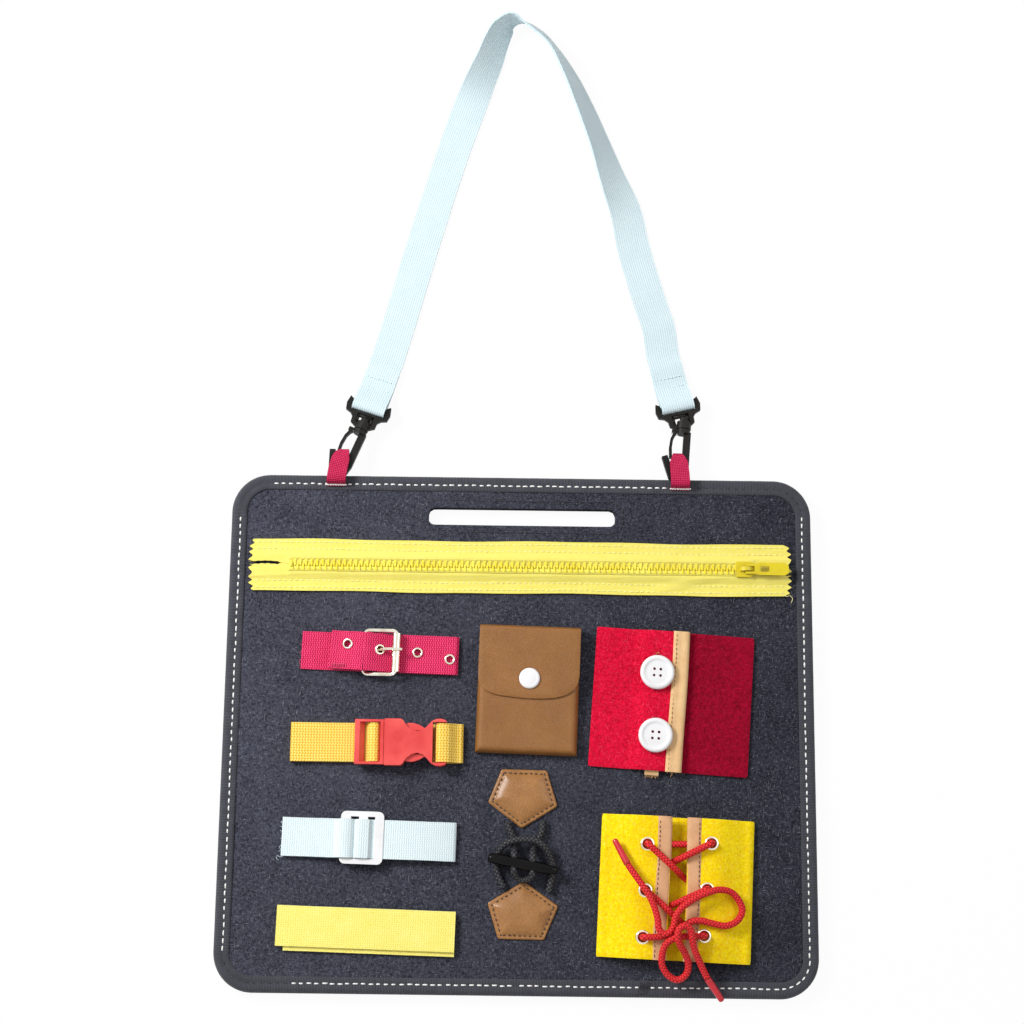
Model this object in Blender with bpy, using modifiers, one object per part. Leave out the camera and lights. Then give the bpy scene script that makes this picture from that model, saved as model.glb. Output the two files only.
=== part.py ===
"""A fabric dressing skills board that lies on its back, with its shoulder strap above it.

The frame: the origin is the middle of the back face, X runs to the right, Y towards the strap
and Z out of the front. Each fastener is built in its own frame, whose height starts on the felt.
"""

import math

import bmesh
import bpy
from mathutils import Matrix, Vector

MM = 0.001
GAP = 0.3 * MM

# The board, from its back to its front
BOARD_WIDTH = 335 * MM
BOARD_HEIGHT = 293 * MM
TOP_EDGE = BOARD_HEIGHT / 2
CORNER_RADIUS = 22 * MM
FELT = 2.5 * MM
STIFFENER = 1.5 * MM
STIFFENER_INSET = 4 * MM
STIFFENER_LOW = FELT + GAP
FRONT_LOW = STIFFENER_LOW + STIFFENER + GAP
FELT_TOP = FRONT_LOW + FELT
BINDING_COVER = 9 * MM
BINDING_WALL = 0.8 * MM
BINDING_TOP = FELT_TOP + GAP
SLOT_CENTRE = (0.4 * MM, TOP_EDGE - 23.5 * MM)
SLOT_SIZE = (108 * MM, 10.3 * MM)
SLOT_RADIUS = 3.5 * MM
SLOT_RELIEF = 4 * MM
ARC_STEPS = 6

# The webbing, whose layers lie on each other with a gap
WEBBING = 1.3 * MM
WEBBING_WIDTH = 21.8 * MM
LEATHER = 1.1 * MM
PANEL_FELT = 1.5 * MM

# Where each fastener lies on the felt: X in millimetres, Y as a share of the height, turn in degrees
ZIP_PLACE = (0, 0.317065, 0)
BELT_PLACE = (-79.4, 0.144539, -1.67)
CLIP_PLACE = (-79.9, -0.029352, 0)
GLIDE_PLACE = (-82.8, -0.212969, -1.27)
STRIP_PLACE = (-83.4, -0.379522, -1.48)
POUCH_PLACE = (5.0, 0.073720, -1.6)
TOGGLE_PLACE = (3.05, -0.256655, 0)
BUTTON_PLACE = (86.45, 0.057167, -3.6)
LACE_PLACE = (88.1, -0.298123, -2.4)

# Colour, roughness and metallic value of each material
MATERIALS = {
    "navy_felt": ((0.06, 0.065, 0.09), 0.95, 0),
    "navy_binding": ((0.05, 0.05, 0.065), 0.8, 0),
    "stiffener_board": ((0.45, 0.4, 0.33), 0.9, 0),
    "red_webbing": ((0.72, 0.03, 0.12), 0.75, 0),
    "dark_red_webbing": ((0.45, 0.02, 0.08), 0.75, 0),
    "yellow_webbing": ((0.95, 0.62, 0.12), 0.75, 0),
    "blue_webbing": ((0.72, 0.86, 0.9), 0.75, 0),
    "yellow_tape": ((0.93, 0.86, 0.1), 0.75, 0),
    "yellow_zip_paint": ((0.85, 0.74, 0.01), 0.3, 0),
    "hook_and_loop": ((0.93, 0.86, 0.2), 0.9, 0),
    "black_plastic": ((0.02, 0.018, 0.016), 0.35, 0),
    "nickel": ((0.8, 0.77, 0.7), 0.22, 1),
    "coral_plastic": ((0.82, 0.1, 0.1), 0.4, 0),
    "white_plastic": ((0.9, 0.9, 0.88), 0.35, 0),
    "brown_leather": ((0.4, 0.2, 0.07), 0.5, 0),
    "red_felt": ((0.72, 0.02, 0.07), 0.95, 0),
    "beige_binding": ((0.75, 0.5, 0.28), 0.8, 0),
    "yellow_felt": ((0.95, 0.74, 0.01), 0.95, 0),
    "black_horn": ((0.015, 0.013, 0.012), 0.15, 0),
    "black_cord": ((0.02, 0.02, 0.025), 0.8, 0),
    "red_cord": ((0.75, 0.02, 0.03), 0.8, 0),
    "red_aglet": ((0.7, 0.01, 0.02), 0.3, 0),
}


def mm(*sizes):
    """These millimetres in metres."""
    return tuple(size * MM for size in sizes)


def clear_scene():
    for old in list(bpy.data.objects):
        bpy.data.objects.remove(old)


def collection(name, hidden=False):
    made = bpy.data.collections.new(name)
    made.hide_render = hidden
    bpy.context.scene.collection.children.link(made)
    return made


def material(slot):
    if slot in bpy.data.materials:
        return bpy.data.materials[slot]
    colour, roughness, metallic = MATERIALS[slot]
    made = bpy.data.materials.new(slot)
    made.use_nodes = True
    shader = made.node_tree.nodes["Principled BSDF"]
    shader.inputs["Base Color"].default_value = (*colour, 1)
    shader.inputs["Roughness"].default_value = roughness
    shader.inputs["Metallic"].default_value = metallic
    return made


def empty(name, matrix, parent=None):
    """A frame to build in. The matrix is in its parent's frame."""
    made = bpy.data.objects.new(name, None)
    PARTS.objects.link(made)
    made.parent = parent
    made.matrix_local = matrix
    return made


def unit(name, place):
    """The frame of a fastener on the felt."""
    x, y, turn = place
    spot = Matrix.Translation(Vector((x * MM, y * BOARD_HEIGHT, FELT_TOP)))
    return empty(name, spot @ Matrix.Rotation(math.radians(turn), 4, "Z"))


def node(name, mesh, slot, parent=None):
    made = bpy.data.objects.new(name, mesh)
    PARTS.objects.link(made)
    made.parent = parent
    mesh.name = name
    mesh.materials.append(material(slot))
    mesh.shade_smooth()
    mesh.set_sharp_from_angle(angle=math.radians(35))
    return made


def boolean(target, mesh, operation, solver="EXACT"):
    helper = bpy.data.objects.new(target.name + "_" + operation.lower(), mesh)
    CUTTERS.objects.link(helper)
    helper.parent = target.parent
    helper.hide_render = True
    helper.display_type = "WIRE"
    change = target.modifiers.new(operation.title(), "BOOLEAN")
    change.operation = operation
    change.solver = solver
    change.object = helper


def cut(target, *meshes):
    for mesh in meshes:
        boolean(target, mesh, "DIFFERENCE")


def join(target, *meshes):
    for mesh in meshes:
        boolean(target, mesh, "UNION")


def finished(shape, name="shape"):
    """The bmesh as a mesh, with its doubles welded and its faces outwards."""
    bmesh.ops.remove_doubles(shape, verts=shape.verts, dist=1e-6)
    bmesh.ops.recalc_face_normals(shape, faces=shape.faces)
    mesh = bpy.data.meshes.new(name)
    shape.to_mesh(mesh)
    shape.free()
    return mesh


def moved(mesh, matrix):
    mesh.transform(matrix)
    return mesh


def baked(guide):
    """The mesh of a curve or of an object with modifiers, which is removed."""
    scene_objects = bpy.context.scene.collection.objects
    scene_objects.link(guide)
    bpy.context.view_layer.update()
    evaluated = guide.evaluated_get(bpy.context.evaluated_depsgraph_get())
    shape = bmesh.new()
    shape.from_mesh(bpy.data.meshes.new_from_object(evaluated))
    bpy.data.objects.remove(guide)
    return finished(shape)


def box(low, high):
    """A box between two corners."""
    size = [b - a for a, b in zip(low, high)]
    middle = [(a + b) / 2 for a, b in zip(low, high)]
    shape = bmesh.new()
    bmesh.ops.create_cube(shape, size=1, matrix=Matrix.Translation(middle) @ Matrix.Diagonal((*size, 1)))
    return finished(shape)


def rod(radius, length, centre, axis="Z", segments=16, far_radius=None):
    """A cylinder round its centre, or a cone with a far radius."""
    turn = {
        "X": Matrix.Rotation(math.radians(90), 4, "Y"),
        "Y": Matrix.Rotation(math.radians(-90), 4, "X"),
        "Z": Matrix.Identity(4),
    }[axis]
    shape = bmesh.new()
    bmesh.ops.create_cone(
        shape, cap_ends=True, segments=segments, radius1=radius,
        radius2=radius if far_radius is None else far_radius, depth=length,
        matrix=Matrix.Translation(centre) @ turn,
    )
    return finished(shape)


def merged_flats(mesh):
    """The mesh with each flat side as one face, which Booleans cut more cleanly."""
    shape = bmesh.new()
    shape.from_mesh(mesh)
    bmesh.ops.dissolve_limit(shape, angle_limit=math.radians(0.5), verts=shape.verts, edges=shape.edges)
    return finished(shape)


def slab(loops, low, high):
    """A flat plate between two heights: its outline first, then its holes."""
    data = bpy.data.curves.new("outline", "CURVE")
    data.dimensions = "2D"
    data.fill_mode = "BOTH"
    data.extrude = (high - low) / 2
    for loop in loops:
        spline = data.splines.new("POLY")
        spline.points.add(len(loop) - 1)
        for point, (x, y) in zip(spline.points, loop):
            point.co = (x, y, 0, 1)
        spline.use_cyclic_u = True
    plate = baked(bpy.data.objects.new("outline", data))
    if len(loops) == 1:
        plate = merged_flats(plate)
    return moved(plate, Matrix.Translation((0, 0, (low + high) / 2)))


def upright(loops, width):
    """A plate drawn in X and Z, this wide across Y."""
    return moved(slab(loops, -width / 2, width / 2), Matrix.Rotation(math.radians(90), 4, "X"))


def turned(profile, steps=16, closed=True):
    """A solid turned about Z from points of radius and height that run down its outer side."""
    shape = bmesh.new()
    points = [shape.verts.new((radius, 0, height)) for radius, height in profile]
    for first, second in zip(points, points[1:]):
        shape.edges.new((first, second))
    if closed:
        shape.edges.new((points[-1], points[0]))
    mesh = bpy.data.meshes.new("profile")
    shape.to_mesh(mesh)
    shape.free()
    guide = bpy.data.objects.new("profile", mesh)
    screw = guide.modifiers.new("Screw", "SCREW")
    screw.steps = steps
    screw.render_steps = steps
    screw.use_merge_vertices = True
    screw.merge_threshold = 1e-5
    return baked(guide)


def tube(points, radius, cyclic=False):
    """A round wire or cord through these points."""
    data = bpy.data.curves.new("wire", "CURVE")
    data.dimensions = "3D"
    data.bevel_depth = radius
    data.bevel_resolution = 2
    data.use_fill_caps = not cyclic
    spline = data.splines.new("POLY")
    spline.points.add(len(points) - 1)
    for point, place in zip(spline.points, points):
        point.co = (*place, 1)
    spline.use_cyclic_u = cyclic
    return baked(bpy.data.objects.new("wire", data))


def loft(rings, cyclic=False):
    """A solid through rings of points, all with the same number of points."""
    shape = bmesh.new()
    rows = [[shape.verts.new(point) for point in ring] for ring in rings]
    pairs = list(zip(rows, rows[1:]))
    if cyclic:
        pairs.append((rows[-1], rows[0]))
    else:
        shape.faces.new(rows[0])
        shape.faces.new(rows[-1])
    for first, second in pairs:
        for i in range(len(first)):
            j = (i + 1) % len(first)
            shape.faces.new((first[i], first[j], second[j], second[i]))
    return finished(shape)


def band(centres, halves, thickness, cyclic=False):
    """A strip through these centres: each half is half its width, as a vector."""
    centres = [Vector(centre) for centre in centres]
    halves = [Vector(half) for half in halves]
    last = len(centres) - 1
    depths = thickness if isinstance(thickness, (list, tuple)) else [thickness] * (last + 1)
    rings = []
    for i, centre in enumerate(centres):
        before = centre - centres[i - 1] if i or cyclic else centres[1] - centres[0]
        after = centres[(i + 1) % (last + 1)] - centre if i < last or cyclic else before
        tangent = (before.normalized() + after.normalized()).normalized()
        stretch = 1 / max(tangent.dot(after.normalized()), 0.6)
        depth = halves[i].cross(tangent).normalized() * depths[i] / 2 * stretch
        rings.append((
            centre + halves[i] + depth, centre + halves[i] - depth,
            centre - halves[i] - depth, centre - halves[i] + depth,
        ))
    return loft(rings, cyclic)


def ribbon(route, thickness, width):
    """A strip of webbing that lies along X, through millimetres of length and height."""
    centres = [(x * MM, 0, z * MM) for x, z in route]
    return band(centres, [(0, width / 2, 0)] * len(centres), thickness)


def arc(centre, radius, start, end, steps=ARC_STEPS):
    """Points along an arc, with its angles in degrees."""
    angles = [math.radians(start + (end - start) * i / steps) for i in range(steps + 1)]
    return [(centre[0] + radius * math.cos(a), centre[1] + radius * math.sin(a)) for a in angles]


def rounded(width, height, radius, centre=(0, 0), steps=ARC_STEPS):
    """A rectangle with round corners, anticlockwise."""
    x, y = centre
    side, rise = width / 2 - radius, height / 2 - radius
    corners = ((side, rise, 0), (-side, rise, 90), (-side, -rise, 180), (side, -rise, 270))
    return [
        point
        for across, up, start in corners
        for point in arc((x + across, y + up), radius, start, start + 90, steps)
    ]


def rectangle(low, high):
    return [(low[0], low[1]), (high[0], low[1]), (high[0], high[1]), (low[0], high[1])]


def mirrored(points):
    """An outline from its half at +Y, whose points run along X."""
    return list(points) + [(x, -y) for x, y in reversed(points)]


# The board and its binding


def board_outline(inset):
    return rounded(BOARD_WIDTH - 2 * inset, BOARD_HEIGHT - 2 * inset, max(CORNER_RADIUS - inset, 1 * MM))


def slot_outline(relief=0):
    width, height = SLOT_SIZE
    return rounded(width + 2 * relief, height + 2 * relief, SLOT_RADIUS + relief, SLOT_CENTRE, 3)


def tail_notch(tab_x):
    """The room for a tab's tail in the board's back edge."""
    half = TAB_WIDTH / 2 + 2 * GAP
    return box((tab_x - half, TAIL_START - GAP, -FELT), (tab_x + half, TOP_EDGE + FELT, TAIL_ROOM))


def make_board():
    felt_edge = board_outline(BINDING_WALL + GAP)
    past_edge = board_outline(-BINDING_COVER)
    bare_felt = board_outline(BINDING_COVER + GAP)
    notches = [tail_notch(place) for place in TAB_PLACES]

    back = node("back_felt", slab([felt_edge, slot_outline()], 0, FELT), "navy_felt")
    cut(back, slab([past_edge, bare_felt], -FELT, BINDING_WALL + GAP))
    cut(back, *notches)

    core = [board_outline(STIFFENER_INSET), slot_outline(SLOT_RELIEF)]
    node("stiffener_board", slab(core, STIFFENER_LOW, STIFFENER_LOW + STIFFENER), "stiffener_board")

    front = node("front_felt", slab([felt_edge, slot_outline()], FRONT_LOW, FELT_TOP), "navy_felt")
    cut(front, slab([past_edge, bare_felt], FELT_TOP - BINDING_WALL, FELT_TOP + FELT))

    ring = slab([board_outline(0), board_outline(BINDING_COVER)], 0, BINDING_TOP)
    binding = node("edge_binding", ring, "navy_binding")
    cut(binding, slab([board_outline(BINDING_WALL)], BINDING_WALL, BINDING_TOP - BINDING_WALL))
    cut(binding, *notches)


# The tabs that hold the hooks. Each row is Y from the top edge, Z, width and share of the lean

TAB_PLACES = mm(-107.6, 91.9)
TAB_LEANS = mm(4.9, -2)
TAB_WIDTH = 11 * MM
TAIL_START = TOP_EDGE - 5.9 * MM
TAIL_ROOM = 2 * MM
LEAN_MOST = 3
TAB_ROUTE = (
    (-6.8, 8.35, 11, 0), (-5.7, 8.5, 11, 0), (-5.2, 10.2, 11, 0.1), (-4.4, 12.7, 11, 0.2),
    (-1.9, 13.8, 11, 0.4), (4.5, 13.4, 10.8, 1), (9.5, 12.7, 10, 1.8), (12.8, 12, 6.6, 2.6),
    (14.1, 10.2, 4.6, 3), (13.5, 8, 4.6, 3), (11.5, 6.2, 4.8, 2.8), (7.5, 4.4, 6.4, 1.8), (3.5, 2.6, 9, 0.7),
    (1.3, 1, 10.4, 0), (-0.3, 0.65, 10.4, 0), (-5.9, 0.65, 10.4, 0),
)


def make_tabs():
    for name, place, lean in zip(("tab_left", "tab_right"), TAB_PLACES, TAB_LEANS):
        centres = [
            (place + share / LEAN_MOST * lean, TOP_EDGE + y * MM, z * MM)
            for y, z, width, share in TAB_ROUTE
        ]
        halves = [(width / 2 * MM, 0, 0) for y, z, width, share in TAB_ROUTE]
        node(name, band(centres, halves, WEBBING), "dark_red_webbing")


# The swivel hooks, placed from the top edge. A hook's frame has Y up its axis and Z across its plate

HOOK_PLACES = ((-94.2, 26.9, -21.5, 4), (94.2, 29.5, -4.2, 17.8))
HOOK_HEIGHT = 7.3 * MM
HOOK_TILT = -5.8
HOOK_DEPTH = 3.4 * MM
HOOK_LINE = (
    (2.2, -2, 4.2), (2.1, -16, 4.2), (2.1, -23, 4.2), (1.2, -27.5, 4), (-1.2, -30.4, 3.8), (-3.4, -31, 3.8),
    (-5.6, -29.3, 3.8), (-7.4, -24.5, 3.8), (-10.2, -17.4, 3.4),
)
HOOK_TURNING = (
    (0, 7.2), (2.6, 7.2), (2.6, 5), (1.4, 5), (1.4, -0.3), (3.9, -0.3), (3.9, -2.9), (0, -2.9),
)
GATE_PIVOT = (-5, -2.6)
GATE_ROUTE = ((-5, -2.6), (-6.6, -6.5), (-7.1, -12), (-6.6, -18.2))
GATE_KNUCKLE = 1.2 * MM
GATE_NOTCH = 1.5 * MM
GATE_LEAF = 1.6 * MM
GATE_WIDTH = 3 * MM
SHOULDER = ((-6.8, -2.7, -1.5), (-1.5, -0.5, 1.5))
FRAME_DEPTH = 2.6 * MM
BARREL = (1.75, 4.2, 0, 4.6)
FRAME_HALF = (
    (4.2, 1.2), (7.4, 3.2), (7.6, 6.6), (9.4, 8.6), (12.6, 9.8), (13.4, 13.8), (12.4, 18.4), (10.1, 17),
)
FRAME_BACK = 15.8
FRAME_WINDOW = ((-5, 3.9), (5, 9.4))
STRAP_SLOT = ((-10.1, 10.9), (10.1, 13.1))


def hook_matrix(place):
    x, y, turn, lean = place
    spot = Matrix.Translation((x * MM, TOP_EDGE + y * MM, HOOK_HEIGHT))
    turned_spot = spot @ Matrix.Rotation(math.radians(turn), 4, "Z")
    return turned_spot @ Matrix.Rotation(math.radians(HOOK_TILT), 4, "X")


def along_y(mesh):
    """A piece turned about Z, laid with its axis along Y."""
    return moved(mesh, Matrix.Rotation(math.radians(-90), 4, "X"))


def make_hook(side, place):
    frame = empty("hook_frame_" + side, hook_matrix(place))
    halves = [(0, 0, HOOK_DEPTH / 2)] * len(HOOK_LINE)
    centres = [mm(v, w, 0) for v, w, width in HOOK_LINE]
    line = band(centres, halves, [width * MM for v, w, width in HOOK_LINE])
    hook = node("snap_hook_" + side, line, "black_plastic", frame)
    join(hook, along_y(turned([mm(*point) for point in HOOK_TURNING], closed=False)))
    join(hook, box(*[mm(*corner) for corner in SHOULDER]))
    pivot = (*mm(*GATE_PIVOT), 0)
    cut(hook, rod(GATE_NOTCH, 3 * HOOK_DEPTH, pivot))

    pin = empty("gate_pin_" + side, Matrix.Translation(pivot), frame)
    route = [((v - GATE_PIVOT[0]) * MM, (w - GATE_PIVOT[1]) * MM, 0) for v, w in GATE_ROUTE]
    leaf = band(route, [(0, 0, GATE_WIDTH / 2)] * len(route), GATE_LEAF)
    gate = node("hook_gate_" + side, leaf, "black_plastic", pin)
    join(gate, rod(GATE_KNUCKLE, GATE_WIDTH, (0, 0, 0)))

    right_side = [mm(*point) for point in FRAME_HALF] + [mm(STRAP_SLOT[1][0], FRAME_BACK)]
    outer = right_side + [(-v, w) for v, w in reversed(right_side)]
    window, slot = rectangle(*[mm(*p) for p in FRAME_WINDOW]), rectangle(*[mm(*p) for p in STRAP_SLOT])
    lean = Matrix.Rotation(math.radians(place[3]), 4, "Z")
    plate = moved(slab([outer, window, slot], -FRAME_DEPTH / 2, FRAME_DEPTH / 2), lean)
    swivel = node("swivel_frame_" + side, plate, "black_plastic", frame)
    inner, outer, low, high = mm(*BARREL)
    join(swivel, along_y(turned([(outer, high), (outer, low), (inner / 2, low), (inner / 2, high)])))
    cut(swivel, rod(inner, 3 * high, (0, high / 2, 0), "Y", 24))


# The shoulder strap. Its ends fold round the frames; its middle is X, Y from the top edge and twist

STRAP_WIDTH = 19.5 * MM
STRAP_FOLD = (
    (15.5, -2.6), (13.4, -2.55), (12.15, -1.8), (12, -0.6),
    (12, 0.6), (12.15, 1.8), (13.4, 2.55), (15.5, 2.6),
)
TAIL_RUN = ((40, 0.65), (27, 0.65), (21, 1.6))
LEG_RUN = ((20, 6.4), (24, 4.2), (28, 2.6), (41, 2.3), (47, 0.65))
STRAP_REST = 0.65
STRAP_RISE = 9.75
STRAP_MIDDLE = (
    (-74.5, 91.5, 0), (-59.7, 147.1, 0), (-42.8, 211.4, 0), (-36.5, 232.5, 3), (-31.3, 250.8, 15),
    (-27, 259.5, 35),
    (-22.3, 267.1, 62), (-16.5, 280, 84), (-10.5, 287, 92), (-4, 286.5, 94), (2.5, 282, 94), (9, 276.5, 92),
    (15, 271, 86), (22, 263, 72), (28.5, 252, 55), (36.5, 236.5, 25), (44, 220.5, 8), (50, 204.5, 0),
    (57.4, 183.7, 0), (69.4, 148.8, 0), (81.2, 105, 0), (83.7, 95, 0),
)


def strap_end(place):
    """The tail, the fold and the start of the leg, as places and sideways directions."""
    hook = hook_matrix(place) @ Matrix.Rotation(math.radians(place[3]), 4, "Z")
    along = (hook.to_3x3() @ Vector((0, 1, 0))).normalized()
    level = Vector((along.x, along.y, 0)).normalized()
    start = Vector((hook.translation.x, hook.translation.y, 0))
    on_table = [
        [start + level * w * MM + Vector((0, 0, z * MM)) for w, z in run]
        for run in (TAIL_RUN, LEG_RUN)
    ]
    fold = [hook @ Vector(mm(0, w, z)) for w, z in STRAP_FOLD]
    side = hook.to_3x3() @ Vector((1, 0, 0))
    return [(point, side) for point in on_table[0] + fold + on_table[1]]


def make_shoulder_strap():
    left, right = [strap_end(place) for place in HOOK_PLACES]
    middle = []
    points = [
        Vector((x * MM, TOP_EDGE + y * MM, (STRAP_REST + STRAP_RISE * math.sin(math.radians(twist))) * MM))
        for x, y, twist in STRAP_MIDDLE
    ]
    for i, (point, row) in enumerate(zip(points, STRAP_MIDDLE)):
        run = points[min(i + 1, len(points) - 1)] - points[max(i - 1, 0)]
        side = run.cross(Vector((0, 0, 1))).normalized()
        middle.append((point, Matrix.Rotation(math.radians(-row[2]), 3, run) @ side))
    sections = left + middle + [(point, -side) for point, side in reversed(right)]
    halves = [side * STRAP_WIDTH / 2 for point, side in sections]
    node("shoulder_strap", band([point for point, side in sections], halves, WEBBING), "blue_webbing")


# The zip. Heights are above the felt and Y is from the chain's middle

TAPE_START = -156.5 * MM
TAPE_END = 155.7 * MM
TAPE = 0.9 * MM
TAPE_SECTION = ((15.1, 0.75), (7.8, 0.75), (5.6, 2.5), (1.2, 2.5))
PINK_PITCH = 3.3 * MM
PINK_DEPTH = 1.8 * MM
CHAIN_START = -133 * MM
CHAIN_END = 129 * MM
TOOTH_PITCH = 3.2 * MM
TOOTH_WIDTH = 1.15 * MM
TOOTH_SHARES = (0.4, 0.9)
TOOTH_TIP = -0.65 * MM
SPINE = mm(1, 2.9)
CHAIN_HEIGHTS = mm(1.5, 3.5)
SLIDER_START = 123.6 * MM
SLIDER_END = 134 * MM
SLIDER_HALF = 4.45 * MM
SLIDER_NOSE = 3.2 * MM
SLIDER_PLATES = (mm(0.3, 1.2), mm(3.8, 5))
FLANGE = 0.85 * MM
FLANGE_INSET = 0.025 * MM
FLANGE_HEIGHTS = (mm(0.8, 1.8), mm(3.2, 4.2))
WEDGE = (mm(131, -0.8, 0.8), mm(133.5, 0.8, 4.2))
PULL_AXIS = mm(129.1, 6.05)
ARCH_CENTRE = 4.6 * MM
ARCH_RADII = mm(3.3, 3)
ARCH_WIRE = 1.1 * MM
ARCH_WIDTH = 2.2 * MM
PULLER_END = 24.2 * MM
PULLER_DEPTH = 1.3 * MM
PULLER_BAR = 0.5 * MM
PULLER_SIDE = 3.6 * MM
PULLER_ROOT = 2.9 * MM
PULLER_HOLE = 1.6 * MM
PULLER_HOLE_END = 4.6 * MM
PULLER_NECK_END = 8 * MM


def make_stringer(name, sign, frame):
    """One tape with its teeth. The sign is the side of the chain that it lies on."""
    half = ((TAPE_END - TAPE_START) / 2, 0, 0)
    middle = (TAPE_END + TAPE_START) / 2
    route = [(middle, sign * y * MM, z * MM) for y, z in TAPE_SECTION]
    tape = node(name, band(route, [half] * len(route), TAPE), "yellow_tape", frame)

    near, far = SPINE
    comb = [(CHAIN_END, far), (CHAIN_START, far), (CHAIN_START, near)]
    start = CHAIN_START + TOOTH_PITCH * (TOOTH_SHARES[sign > 0])
    while start + TOOTH_WIDTH < CHAIN_END:
        end = start + TOOTH_WIDTH
        comb += [(start, near), (start, TOOTH_TIP), (end, TOOTH_TIP), (end, near)]
        start += TOOTH_PITCH
    comb.append((CHAIN_END, near))

    teeth = math.ceil(TAPE_SECTION[0][0] * MM / PINK_PITCH) + 1
    for end, inward in ((TAPE_START, 1), (TAPE_END, -1)):
        outside, beyond = end - inward * 2 * PINK_DEPTH, sign * PINK_PITCH * (teeth + 1)
        saw = [(outside, beyond), (outside, -sign * PINK_PITCH), (end, -sign * PINK_PITCH)]
        for i in range(teeth + 1):
            saw.append((end + inward * PINK_DEPTH, sign * PINK_PITCH * (i - 0.5)))
            saw.append((end, sign * PINK_PITCH * i))
        saw.append((end, beyond))
        cut(tape, slab([saw], -FELT, 2 * FELT))
    # The exact solver leaves this long comb of teeth open
    boolean(tape, slab([[(x, sign * y) for x, y in comb]], *CHAIN_HEIGHTS), "UNION", "MANIFOLD")


def make_slider(frame):
    outer = [(SLIDER_START, SLIDER_HALF), (SLIDER_END - 3 * MM, SLIDER_HALF), (SLIDER_END, SLIDER_NOSE)]
    outer = mirrored(outer)
    bottom, top = [slab([outer], *heights) for heights in SLIDER_PLATES]
    slider = node("zip_slider", bottom, "yellow_zip_paint", frame)
    join(slider, top, box(*WEDGE))
    end = SLIDER_END - 3 * MM
    for low, high in FLANGE_HEIGHTS:
        for side in (1, -1):
            edges = sorted((side * (SLIDER_HALF - FLANGE_INSET), side * (SLIDER_HALF - FLANGE)))
            join(slider, box((SLIDER_START + 4 * FLANGE_INSET, edges[0], low), (end, edges[1], high)))
    arch = []
    for i in range(13):
        turn = math.pi * i / 12
        across, up = ARCH_RADII[0] * math.cos(turn), ARCH_RADII[1] * math.sin(turn)
        arch.append((PULL_AXIS[0] + across, 0, ARCH_CENTRE + up))
    join(slider, band(arch, [(0, ARCH_WIDTH / 2, 0)] * len(arch), ARCH_WIRE))


def make_puller(frame):
    axis = empty("puller_axis", Matrix.Translation((PULL_AXIS[0], 0, PULL_AXIS[1])), frame)
    side = [(-PULLER_BAR, PULLER_ROOT), (PULLER_HOLE_END, PULLER_ROOT), (PULLER_NECK_END, PULLER_SIDE)]
    side += [(PULLER_END - 2 * MM, PULLER_SIDE), (PULLER_END, PULLER_SIDE - 1.6 * MM)]
    hole = rectangle((PULLER_BAR, -PULLER_HOLE), (PULLER_HOLE_END, PULLER_HOLE))
    window = rectangle((PULLER_NECK_END, -PULLER_HOLE), (PULLER_NECK_END + 5 * MM, PULLER_HOLE))
    grip = slab([mirrored(side), hole, window], -PULLER_DEPTH / 2, PULLER_DEPTH / 2)
    node("zip_puller", grip, "yellow_zip_paint", axis)


def make_zip():
    frame = unit("zip", ZIP_PLACE)
    make_stringer("zip_stringer_upper", 1, frame)
    make_stringer("zip_stringer_lower", -1, frame)
    make_slider(frame)
    make_puller(frame)


# The belt. Routes are length and height in millimetres

BELT_BASE_ROUTE = (
    (-44.7, 0.95), (-9.2, 0.95), (-7.8, 1.25), (-6.55, 2.4), (-6.55, 3.8), (-7.6, 4.95), (-8.9, 5.25),
    (-12, 5), (-16, 3.4), (-19, 2.55), (-24, 2.55),
)
BELT_ROUTE = (
    (-28.2, 4.15), (-23, 4.15), (-21.8, 4.3), (-14.6, 6), (-12, 6.75), (-8.9, 6.95), (-6, 6.6), (5.5, 2.7),
    (7, 2.55), (42.5, 2.55), (44.05, 1.75), (43.2, 0.95), (-4, 0.95),
)
BELT_EYELETS = (
    (-18.3, 4.0, 5.13, 13.3), (-0.15, 1.55, 4.62, -18.7), (21.3, 0.9, 2.55, 0), (39.8, -2.2, 2.55, 0),
)
PRONG_SLOT = (mm(-12.5, 0.2), mm(-4, 7))
EYELET_HOLE = 2.5 * MM
EYELET_BORE = 1.9 * MM
EYELET_BARREL = 2.2 * MM
EYELET_RIM = 3.1 * MM
EYELET_RIM_DEPTH = 0.5 * MM
BUCKLE_WIRE = 1.2 * MM
HINGE_BAR = (-8.9, 3.1)
ROLLER_BAR = (9.4, 6.0)
BUCKLE_SIDE = 12.45
BUCKLE_CORNER = 2.5
ROLLER_RADIUS = 2.5 * MM
ROLLER_BORE = 1.5 * MM
PRONG_WIRE = 0.95 * MM
PRONG_KNUCKLE = mm(1.45, 2.2)
PRONG_WIDTH = 2.4 * MM
PRONG_ROUTE = (
    (-7, 3.1), (-3, 3.25), (-1.6, 3.5), (-0.15, 4.54), (1.1, 6.1), (2.4, 7.6), (4.5, 9), (7.5, 9.85),
    (9.4, 9.85), (12.7, 9.3),
)


def eyelet_mesh(sheet, bore=EYELET_BORE, barrel=EYELET_BARREL, rim=EYELET_RIM):
    """An eyelet whose rim lies on a sheet of this depth, about the sheet's middle."""
    face = sheet / 2 + GAP
    top = face + EYELET_RIM_DEPTH
    low = -sheet / 2
    return turned([(bore, low), (bore, top), (rim, top), (rim, face), (barrel, face), (barrel, low)], 16)


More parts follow.
